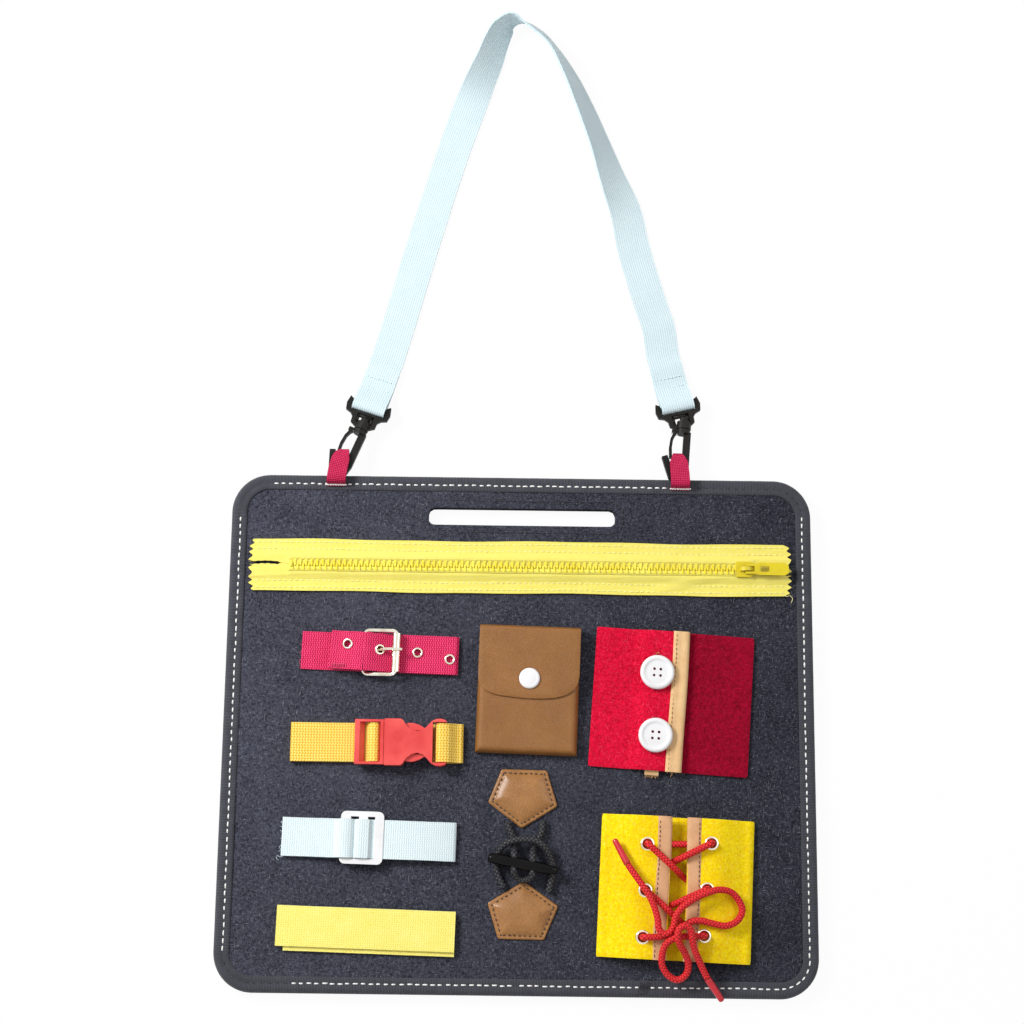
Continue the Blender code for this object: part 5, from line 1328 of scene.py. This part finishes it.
PATCHES = (
    ("upper", ((-9.4, -22.4), (16.1, -22.9), (22.2, -42.8), (2.3, -55.3), (-16.8, -41.1))),
    ("lower", ((3.8, -84.3), (23, -97.7), (15.2, -116.2), (-10.2, -115.9), (-16.3, -96.4))),
)
CORD_ROUTE = (
    (-6.2, -51.8, 2.3), (-4.6, -56, 2.3), (-2.8, -60, 2.3), (-2.1, -63, 2.4), (-1.9, -66.2, 3.8),
    (-1.9, -68.4, 6.2), (-1.9, -70.2, 7.6), (-1.9, -72, 7.8), (-1.9, -77.4, 7.8), (-1.8, -79.3, 7.4),
    (-1, -81.2, 5.8), (0.6, -82.9, 4.2), (3.2, -83.7, 3.6), (5.8, -83.3, 4.2), (7.5, -82.4, 5.8),
    (8.3, -81, 7.4), (8.4, -79.4, 7.8), (8.4, -73, 7.8), (8.4, -71.2, 7.6), (8.5, -69.2, 6.2),
    (8.9, -67, 3.8), (10, -64, 2.4), (12, -60.5, 2.3), (13.6, -56, 2.3), (13.8, -51, 2.3),
)
LOOP_ROUTE = (
    (-7.4, -88, 2.3), (-10.3, -82.1, 2.3), (-11.7, -77, 2.3), (-11.5, -71.5, 2.4), (-9.4, -67, 4.2),
    (-6, -63.8, 6.2), (-2, -62.2, 6.9), (4.5, -61.6, 6.9), (10.5, -62.4, 6.9), (14.6, -65.2, 6.3),
    (17.4, -69.5, 4.4), (19.2, -73.8, 2.8), (19.7, -78.5, 2.3), (18.8, -84, 2.3), (17.4, -90.3, 2.3),
)
HORN = (
    (0.05, 19.7), (0.7, 19.65), (1.3, 19.45), (1.8, 19.0), (2.1, 18.3), (2.4, 16.2), (2.75, 12.5), (3.05, 8),
    (3.22, 4), (3.3, 0), (3.28, -5), (3.12, -11), (2.9, -15.5), (2.65, -18), (2.2, -19.0), (1.5, -19.5),
    (0.7, -19.68), (0.05, -19.7),
)
HORN_X, HORN_Y, HORN_TURN = 3.05, -75.2, -10.5


def lifted(route):
    return [(x, y, z + FELT_TOP) for x, y, z in route]


def make_toggle():
    for name, corners in PATCHES:
        outline = []
        for i, corner in enumerate(corners):
            corner = Vector(corner)
            before, after = Vector(corners[i - 1]), Vector(corners[(i + 1) % 5])
            first, last = corner.lerp(before, 0.05), corner.lerp(after, 0.05)
            shares = (0, 0.25, 0.5, 0.75, 1)
            outline += [tuple(first.lerp(corner, t).lerp(corner.lerp(last, t), t)) for t in shares]

        def lift(x, y, outline=outline):
            depth = nearest(x, y, outline)[0]
            swell_share = min(1, max(0, (depth - 2.3) / 8))
            groove = -0.35 * math.exp(-(((depth - 2.1) / 0.55) ** 2))
            rim = -0.25 * max(0, 1 - depth / 0.9)
            dome = 2.35 * math.sin(swell_share * math.pi / 2) ** 0.9
            return groove + rim + dome + 0.07 * math.sin(x / 2.1 + y / 3)

        mesh = cloth_plate(outline, [], 0.35, 1.3, 0.8, lift, BOARD, 0.3)
        piece("leather_patch_" + name, mesh, PATCH_LEATHER, "board", "toggle_patch_" + name)
        turns = sum(a[0] * b[1] - a[1] * b[0] for a, b in zip(corners, corners[1:] + corners[:1]))
        line = inset(outline if turns > 0 else outline[::-1], 2.1)
        ring = stitches(along(line, 0.8), BOARD, 2.9, 2.3, 0.3, 1.5, 0.6, 0.1, 71, True)
        piece("patch_stitches_" + name, ring, BROWN_THREAD)

    mesh, line = cord_mesh(lifted(CORD_ROUTE), CORD_RADIUS, 0.8, 14)
    cord = piece("toggle_cord_braid", mesh, BLACK_CORD, None, "toggle_cord")
    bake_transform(cord)
    mesh, line = cord_mesh(lifted(LOOP_ROUTE), CORD_RADIUS, 0.8, 14)
    loop = piece("toggle_loop_braid", mesh, BLACK_CORD, None, "toggle_loop")
    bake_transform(loop)

    level = FELT_TOP + 7.8
    horn = turned(HORN, moved(HORN_X, HORN_Y, level) @ spin(HORN_TURN, "Z") @ spin(90, "Y"), solid=True)
    cutters = []
    for x in (-1.9, 8.4):
        y = HORN_Y + math.tan(math.radians(HORN_TURN)) * (x - HORN_X)
        cutters.append((moved(x, y, level) @ spin(90, "X"), 2.2, 20))
    piece("horn_toggle", punch(horn, cutters), BLACK_HORN, "toggle", "toggle")


# The panels with buttons

FLAP_ROUTE = ((-44.95, 1.05), (-24, 1.05), (-20, 2), (-16.5, 3.6), (-13.5, 4.05), (6.9, 4.05))
BUTTONS = (("button_upper", (-9.5, 15.3)), ("button_lower", (-8.4, -20.2)))
BUTTON_PROFILE = (
    (0.02, 8.2), (3.2, 8.2), (5.6, 8.2), (6.5, 8.25), (7, 8.45), (7.5, 8.8), (8.2, 8.95), (8.9, 8.8),
    (9.5, 8.3), (9.75, 7.7), (9.5, 7.05), (8.6, 6.5), (7.2, 6.25), (0.02, 6.2),
)
PANEL_HALF = 39.7
FLAP_TAPE = (
    (-1.45, 5.0, 0), (-1.2, 5.45, 0.4), (0.4, 5.72, 0.5), (2.2, 5.5, 0.4), (3.2, 5.38, 0), (4.4, 5.62, 0.4),
    (6, 5.75, 0.4), (7.2, 5.35, 0), (7.8, 4.5, 0), (7.85, 3.7, 0), (7.3, 2.8, 0), (5.8, 2.35, 0), (0, 2.3, 0),
    (-1.3, 2.45, 0), (-1.3, 3.05, 0), (5.6, 3.0, 0), (6.9, 3.5, 0), (7.0, 4.5, 0), (6.2, 5.0, 0),
    (-1.3, 4.85, 0),
)

def height_on(route, x):
    """The height of a route at X, with a soft change between its points."""
    for (x1, z1), (x2, z2) in zip(route, route[1:]):
        if x1 <= x <= x2:
            t = (x - x1) / (x2 - x1)
            return z1 + (z2 - z1) * t * t * (3 - 2 * t)
    return route[0][1] if x < route[0][0] else route[-1][1]


def flap_waver(y):
    return 0.35 * math.sin(y / 17 + 0.5)


def flap_height(x, y):
    """The height of the red flap's top over the felt."""
    base = height_on(FLAP_ROUTE, x) + 0.75
    pull = sum(0.35 * math.exp(-(((x - bx) / 6) ** 2 + ((y - by) / 5) ** 2)) for _, (bx, by) in BUTTONS)
    loose = max(0, (x + 20) / 27)
    return base - pull + loose * 0.16 * math.sin(y / 6.5 + 0.6) + 0.12 * math.sin(x / 6 + y / 13) - 0.05


def make_red_panel():
    panel = cloth_plate(
        rounded(57.9, 79.4, 1, (15.95, 0), 3), [], 0.3, 1.75, 1.7,
        lambda x, y: 0.1 * math.sin(x / 7 + y / 11) - 0.05, BUTTON, 0.4,
    )
    # The lower panel wears the darker copy of the red felt, whose darkness is painted shade.
    panel = piece("red_panel", panel, SHADED_RED_FELT, "board", "button_panel")
    hidden = strip(((-13, -1.3, 1.9), (-5.2, -1.3, 1.9)), 82, 0.9, BUTTON, 1.0, across=30, crown=0.1)
    piece("red_panel_binding", hidden, TAN_TAPE, "board")
    frays = []
    dice = random.Random(17)
    for k in range(12):
        x = -12.6 + 0.63 * k
        end = (x + dice.uniform(-0.6, 0.6), -43.2 - dice.uniform(0, 0.9), 1.0)
        frays.append([(x, -41.8, 1.9), (x + dice.uniform(-0.2, 0.2), -42.6, 1.6), end])
    piece("red_panel_frays", threads(frays, BUTTON, 0.13), TAN_THREAD)


def make_red_flap():
    holes = [rounded(2.2, 20.4, 1.05, (x, y + 0.4), 3) for _, (x, y) in BUTTONS]
    outline = rounded(51.85, 79.4, 0.8, (-19.02, 0), 3)
    flap = cloth_plate(outline, holes, -1.5, 0.0, 1.15, lambda x, y: 0.0, None, 0.35)
    for vert in flap.vertices:
        vert.co.z += flap_height(vert.co.x / MM, vert.co.y / MM) * MM
    flap.transform(BUTTON)
    flap = piece("red_flap", flap, RED_FELT, None, "button_flap")
    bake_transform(flap)

    rows = []
    for k in range(67):
        y = (PANEL_HALF + 0.2) * (k / 33 - 1)
        loose = 0.16 * math.sin(y / 6.5 + 0.6)
        bump = 0.12 * math.sin(y / 2.3) + 0.1 * math.sin(y / 5.1 + 1)
        ring = []
        for x, z, share in FLAP_TAPE:
            z += bump * share
            ring.append((x + flap_waver(y), y, z + (loose if z > 4 else 0)))
        rows.append(ring)
    tape_mesh = folded_tape(rows, BUTTON)
    piece("flap_binding", tape_mesh, TAN_TAPE, "button_flap", "button_flap_binding")
    line = [(0.3 + flap_waver(y), y, 5.72) for y in range(-39, 40)]
    seam = stitches(line, BUTTON, 2.6, 1.9, 0.17, 0.12, 0.3, 0.1, 81)
    piece("flap_binding_stitches", seam, SEAM_THREAD, "button_flap")
    tails = []
    for x, y, long in ((1.5, -39.2, 3.4), (2.1, -39.3, 2.6), (-0.6, -39.2, 1.5), (4.2, -39.3, 1.2)):
        below = [(x + 0.4, y - long * 0.5, 4), (x + 0.1, y - long, 3)]
        tails.append([(x - 0.6, y + 3.2, 5.7), (x, y, 5.2), *below])
    piece("flap_thread_tails", threads(tails, BUTTON, 0.15), TAN_THREAD, "button_flap")


def make_button(name, x, y):
    spot = BUTTON @ moved(x, y, 0)
    cutters = [(spot @ moved(1.8 * i, 1.8 * j, 7), 0.8, 6) for i in (-1, 1) for j in (-1, 1)]
    disc = punch(turned(BUTTON_PROFILE, spot, 64), cutters)
    disc.shade_smooth()
    disc.set_sharp_from_angle(angle=math.radians(50))
    piece(name + "_disc", disc, WHITE_PLASTIC, name, name)
    shank = []
    for side in (-1, 1):
        low, high = (x + side, y - 1.2 * side, 2.9), (x + side, y + 1.2 * side, 6.3)
        shank.append([low, (x + 0.4 * side, y + 0.4, 4.6), high])
    piece(name + "_thread", threads(shank, BUTTON, 0.5), WHITE_THREAD, name)
    rows = []
    for side in (-1, 1):
        for k in range(16):
            at = y - 9.6 + 20 * k / 15
            level = flap_height(x + side * 1.6, at)
            ends = [(x + side * reach, at, level - 0.1) for reach in (1.0, 2.6)]
            rows.append([ends[0], (x + side * 1.8, at + 0.2, level + 0.14), ends[1]])
    hole = name.replace("button", "buttonhole") + "_thread"
    piece(hole, threads(rows, BUTTON, 0.16), RED_THREAD, "button_flap")


def make_buttons():
    make_red_panel()
    make_red_flap()
    for name, (x, y) in BUTTONS:
        make_button(name, x, y)
    tail = [(-10.8, 25.2, 5.0), (-10.4, 26.5, 5.3), (-9.5, 26.9, 5.3), (-8.9, 26.2, 5.4)]
    piece("buttonhole_tail", loose_thread(tail, BUTTON), TAN_THREAD, "button_flap")


# The panel with the lace

PANEL_ROUTE = (
    (-4.2, 8), (-23, 8), (-31, 5.4), (-37.5, 3.2), (-40.6, 2.85), (-41.8, 2), (-41.2, 1.05), (0, 1.05),
    (41.2, 1.05), (41.8, 2), (40.6, 2.85), (37.5, 3.2), (31, 5.4), (23, 8), (5.3, 8),
)
LACE_EYELETS = ((-17.1, 23.4), (18.4, 25.6), (-17.25, -1.9), (16.8, 0.45), (-17.7, -27.3), (15.95, -24.8))
UNDER, OVER = 4.4, 11.8
BAR_1_2 = (
    (-14, 23.5, 4.2), (-8, 23.8, 5.4), (-4, 24, 6.6), (1, 24.2, 7), (5.5, 24.5, 6.6), (9, 24.8, 5.4),
    (15, 25.4, 4.2),
)
END_1 = (
    (-27.7, 11.2, 13.6), (-23.6, 5.8, 14.8), (-19.6, 0.6, 15.8), (-15.2, -5.4, 16.1), (-12, -12.2, 16.1),
    (-10.2, -18.2, 16), (-9.6, -22.2, 15.9), (-7.2, -24.8, 16), (-3.6, -23.9, 16.5), (-1.6, -20.3, 16.9),
)
RIGHT_LOOP = (
    (-0.9, -15.9, 17), (1.5, -11.6, 17), (5.6, -7.7, 16.7), (11, -4.2, 16.4), (16, -1.8, 16),
    (22.4, 0.3, 14), (30, -0.6, 10.4), (34.9, -5.5, 8.6), (36.5, -10.2, 8.2), (33.9, -15.7, 8.8),
    (27.9, -18.7, 10.4), (19.7, -17.9, 12), (13.5, -16.8, 12.7), (9, -17.3, 12.9), (5, -19.6, 12.6),
    (0, -23, 12.1), (-6, -25.8, 11.8), (-12, -27, 11.8),
)
CROSS_5_4 = (
    (-13, -20, UNDER), (-7, -12.5, UNDER), (-3.3, -9.8, 4.7), (-1.3, -8.7, 6.6), (1.4, -7.4, 9.8),
    (5, -5.5, 11.6), (11, -2.5, OVER),
)
CROSS_4_1 = (
    (12, 2, UNDER), (6.3, 4.9, UNDER), (3.3, 6.7, 4.9), (1.6, 8, 7), (-0.5, 9.7, 10), (-4, 12.6, 11.6),
    (-11.5, 18.8, OVER),
)
CROSS_2_3 = (
    (11, 21.6, OVER), (5, 18.3, 11.6), (1.5, 16.4, 9.8), (-1.2, 15, 6.6), (-3.3, 13.9, 4.7),
    (-7, 11.6, UNDER), (-12, 5, UNDER),
)
CROSS_3_6 = (
    (-11, -6.8, OVER), (-4, -12.4, 11.6), (-0.8, -14.9, 10), (1.2, -16.4, 7), (3.1, -17.8, 4.9),
    (6, -19.8, UNDER), (11, -22.6, UNDER),
)
BOTTOM_LOOP = (
    (11.3, -25.3, 12.2), (7.4, -25.6, 14), (3.4, -25.9, 15.8), (-0.8, -27, 16.4), (-4.6, -29.6, 15),
    (-6.7, -34.4, 12.6), (-6.7, -41.4, 10.4), (-2.6, -47.2, 8.4), (2.4, -49.1, 7.8), (6.8, -45.9, 8.8),
    (7.6, -40.4, 11), (5.2, -34.6, 14.4), (2.2, -30.4, 18.2),
)
END_2 = (
    (0.4, -26.2, 20.6), (1, -22.2, 21), (4.2, -20, 20.8), (7.4, -22, 20), (8.6, -26.4, 18.6), (10, -31.6, 16),
    (12.6, -36.8, 13.2), (15.4, -42.2, 10.6), (18.4, -47.2, 8.4),
)
AGLETS = (
    ("aglet_1", (-27.9, 11.5, 13.5), (-35.6, 24.7, 10.2)),
    ("aglet_2", (18.6, -47.6, 8.2), (27.4, -59, 4.4)),
)


PANEL_FOLD = (
    (0, 8.9, 0), (0.25, 9.2, 0.4), (2.2, 9.35, 0.5), (5.2, 9.35, 0.5), (6.6, 9.2, 0.4), (7.6, 8.8, 0),
    (8, 8.1, 0), (7.8, 7.3, 0), (7.1, 6.8, 0), (5.4, 6.6, 0), (0.4, 6.6, 0), (0.1, 7.0, 0), (5.6, 7.05, 0),
    (6.8, 7.6, 0), (6.8, 8.4, 0), (5.8, 8.85, 0),
)
AGLET_STEPS = (0.0, 0.03, 0.06, 0.3, 0.6, 0.9, 0.97, 1.0)
AGLET_SIZES = (1.75, 1.95, 1.98, 1.9, 1.8, 1.7, 1.55, 1.1)


def aglet_size(t):
    """The radius of an aglet, by the share of its length."""
    steps = list(zip(AGLET_STEPS, AGLET_SIZES))
    for (a, one), (b, two) in zip(steps, steps[1:]):
        if t <= b:
            return one + (two - one) * (t - a) / (b - a)
    return AGLET_SIZES[-1]


def up_through(number):
    """The lace's way up through an eyelet."""
    x, y = LACE_EYELETS[number - 1]
    return ((x, y, UNDER), (x, y, UNDER + 1.6), (x, y, OVER - 1.6), (x, y, OVER))


def make_lace_panel():
    rows = smooth_route([(x, 0, z) for x, z in PANEL_ROUTE], 1.3)
    half, columns = 39.05, 60
    shape = new_shape()
    tops, lows = [], []
    for i, (x, _, z) in enumerate(rows):
        back, ahead = rows[max(i - 1, 0)], rows[min(i + 1, len(rows) - 1)]
        run = Vector((ahead[0] - back[0], ahead[2] - back[2])).normalized()
        loose = min(1, max(0, (z - 2.2) / 2)) * 0.6
        top, low = [], []
        for k in range(columns + 1):
            y = half * (2 * k / columns - 1)
            rise = (0.3 * math.sin(y / 15 + x / 20) + 0.14 * math.sin(y / 5 + x / 9)) * loose
            rim = 0.82 if 0 < k < columns else 0.5
            top.append(shape.verts.new(mm(x - run.y * rim, y, z + run.x * rim + rise)))
            low.append(shape.verts.new(mm(x + run.y * rim, y, z - run.x * rim + rise)))
        tops.append(top)
        lows.append(low)
    slab(shape, tops, lows)
    spots = [LACE @ moved(x, y, 8) for x, y in LACE_EYELETS]
    mesh = punch(finished(shape, LACE, 60), [(spot, 2.85, 5) for spot in spots])
    panel = piece("yellow_panel", mesh, YELLOW_FELT, "board", "lace_panel")
    for number, spot in enumerate(spots, 1):
        ring = eyelet(spot, 2.4, 2.7, 4, 1.5)
        piece("lace_ring_%d" % number, ring, NICKEL, "board", "lace_eyelet_%d" % number)

    for number, (edge, flip) in enumerate(((-11.9, 1), (13, -1))):
        centre = edge + 4 * flip

        def waver(y, number=number):
            return 0.35 * math.sin(y / 14 + number * 2)

        def sway(y, centre=centre):
            return 0.3 * math.sin(y / 15 + centre / 20) * 0.55

        rows = []
        for k in range(65):
            y = (half + 0.1) * (k / 32 - 1)
            bump = 0.12 * math.sin(y / 2.6 + number) + 0.08 * math.sin(y / 1.3)
            side, rise = edge + waver(y), sway(y)
            rows.append([(side + flip * x, y, z + bump * share + rise) for x, z, share in PANEL_FOLD])
        mesh = folded_tape(rows, LACE)
        piece("panel_binding_%d" % (number + 1), mesh, PANEL_TAPE, "board")
        line = [(edge + 1.2 * flip + waver(y), y, 9.3 + sway(y)) for y in range(-38, 39)]
        seam = stitches(line, LACE, 2.6, 2.0, 0.2, 0.14, 0.3, 0.1, 90 + number)
        piece("panel_binding_stitches_%d" % (number + 1), seam, BROWN_THREAD)


def make_lace():
    up = {number: up_through(number) for number in range(1, 7)}
    route = END_1 + RIGHT_LOOP + up[5][::-1] + CROSS_5_4 + up[4][::-1] + CROSS_4_1 + up[1][::-1] + BAR_1_2
    route += up[2] + CROSS_2_3 + up[3] + CROSS_3_6 + up[6] + BOTTOM_LOOP + END_2
    mesh, line = cord_mesh([LACE @ Vector(mm(*p)) / MM for p in route], LACE_RADIUS, 0.9, 14)
    lace = piece("lace_braid", mesh, RED_CORD, "board", "lace")
    for name, start, end in AGLETS:
        rows = [LACE @ (Vector(start).lerp(Vector(end), t) * MM) / MM for t in AGLET_STEPS]
        mesh, _ = cord_mesh(rows, 1.0, 0.5, 20, aglet_size)
        piece(name + "_film", mesh, RED_FILM, "board", name)


# The floor, the lamps and the room's light


WHITE = (1, 1, 1, 1)
FLOOR_DROP, FLOOR_SIZE, FLOOR_GLOW = -0.0006, 3, 0.95
ROOM_BAND = {"From Min": -0.9, "From Max": 0.9, "To Min": 0.66, "To Max": 0.24}


def make_stage():
    shape = bmesh.new()
    spot = Matrix.Translation((0, 0, FLOOR_DROP))
    bmesh.ops.create_grid(shape, x_segments=2, y_segments=2, size=FLOOR_SIZE, matrix=spot)
    mesh = bpy.data.meshes.new("floor")
    shape.to_mesh(mesh)
    shape.free()
    floor = bpy.data.objects.new("floor", mesh)
    bpy.context.scene.collection.objects.link(floor)
    graph = Graph("floor", Roughness=0.9, Specular_IOR_Level=0.1, Base_Color=(0.86, 0.86, 0.86, 1))
    light = graph.nodes.new("ShaderNodeEmission")
    light.inputs["Strength"].default_value = 1.0
    blend = graph.nodes.new("ShaderNodeMixShader")
    graph.set(blend.inputs[0], graph.math("MULTIPLY", graph.seen(), FLOOR_GLOW))
    graph.set(blend.inputs[1], graph.shader.outputs[0])
    graph.set(blend.inputs[2], light.outputs[0])
    graph.set(graph.nodes["Material Output"].inputs["Surface"], blend.outputs[0])
    mesh.materials.append(graph.material)

    world = bpy.data.worlds.new("room")
    bpy.context.scene.world = world
    sky = Nodes(world)
    way = sky.nodes.new("ShaderNodeTexCoord").outputs["Generated"]
    band = sky.nodes.new("ShaderNodeMapRange")
    sky.set(band.inputs["Value"], sky.split(way)[0])
    for socket, value in ROOM_BAND.items():
        band.inputs[socket].default_value = value
    level = sky.nodes.new("ShaderNodeMix")
    level.inputs["B"].default_value = 1
    sky.set(level.inputs["Factor"], sky.seen())
    sky.set(level.inputs["A"], band.outputs[0])
    background = sky.nodes["Background"].inputs
    background["Color"].default_value = WHITE
    sky.set(background["Strength"], level.outputs["Result"])
    lamp("key", (-0.85, 0.5, 0.85), (-0.05, 0.05, 0), 0.45, 16)
    lamp("fill", (0.9, 0.3, 0.9), (0, 0.1, 0), 1.0, 4)
    bpy.context.scene.view_settings.view_transform = "Standard"


make_camera()
make_stage()
make_board()
make_tabs()
make_hooks()
make_shoulder_strap()
make_zip()
make_belt()
make_clip()
make_glide()
make_strip()
make_pouch()
make_toggle()
make_buttons()
make_lace_panel()
make_lace()
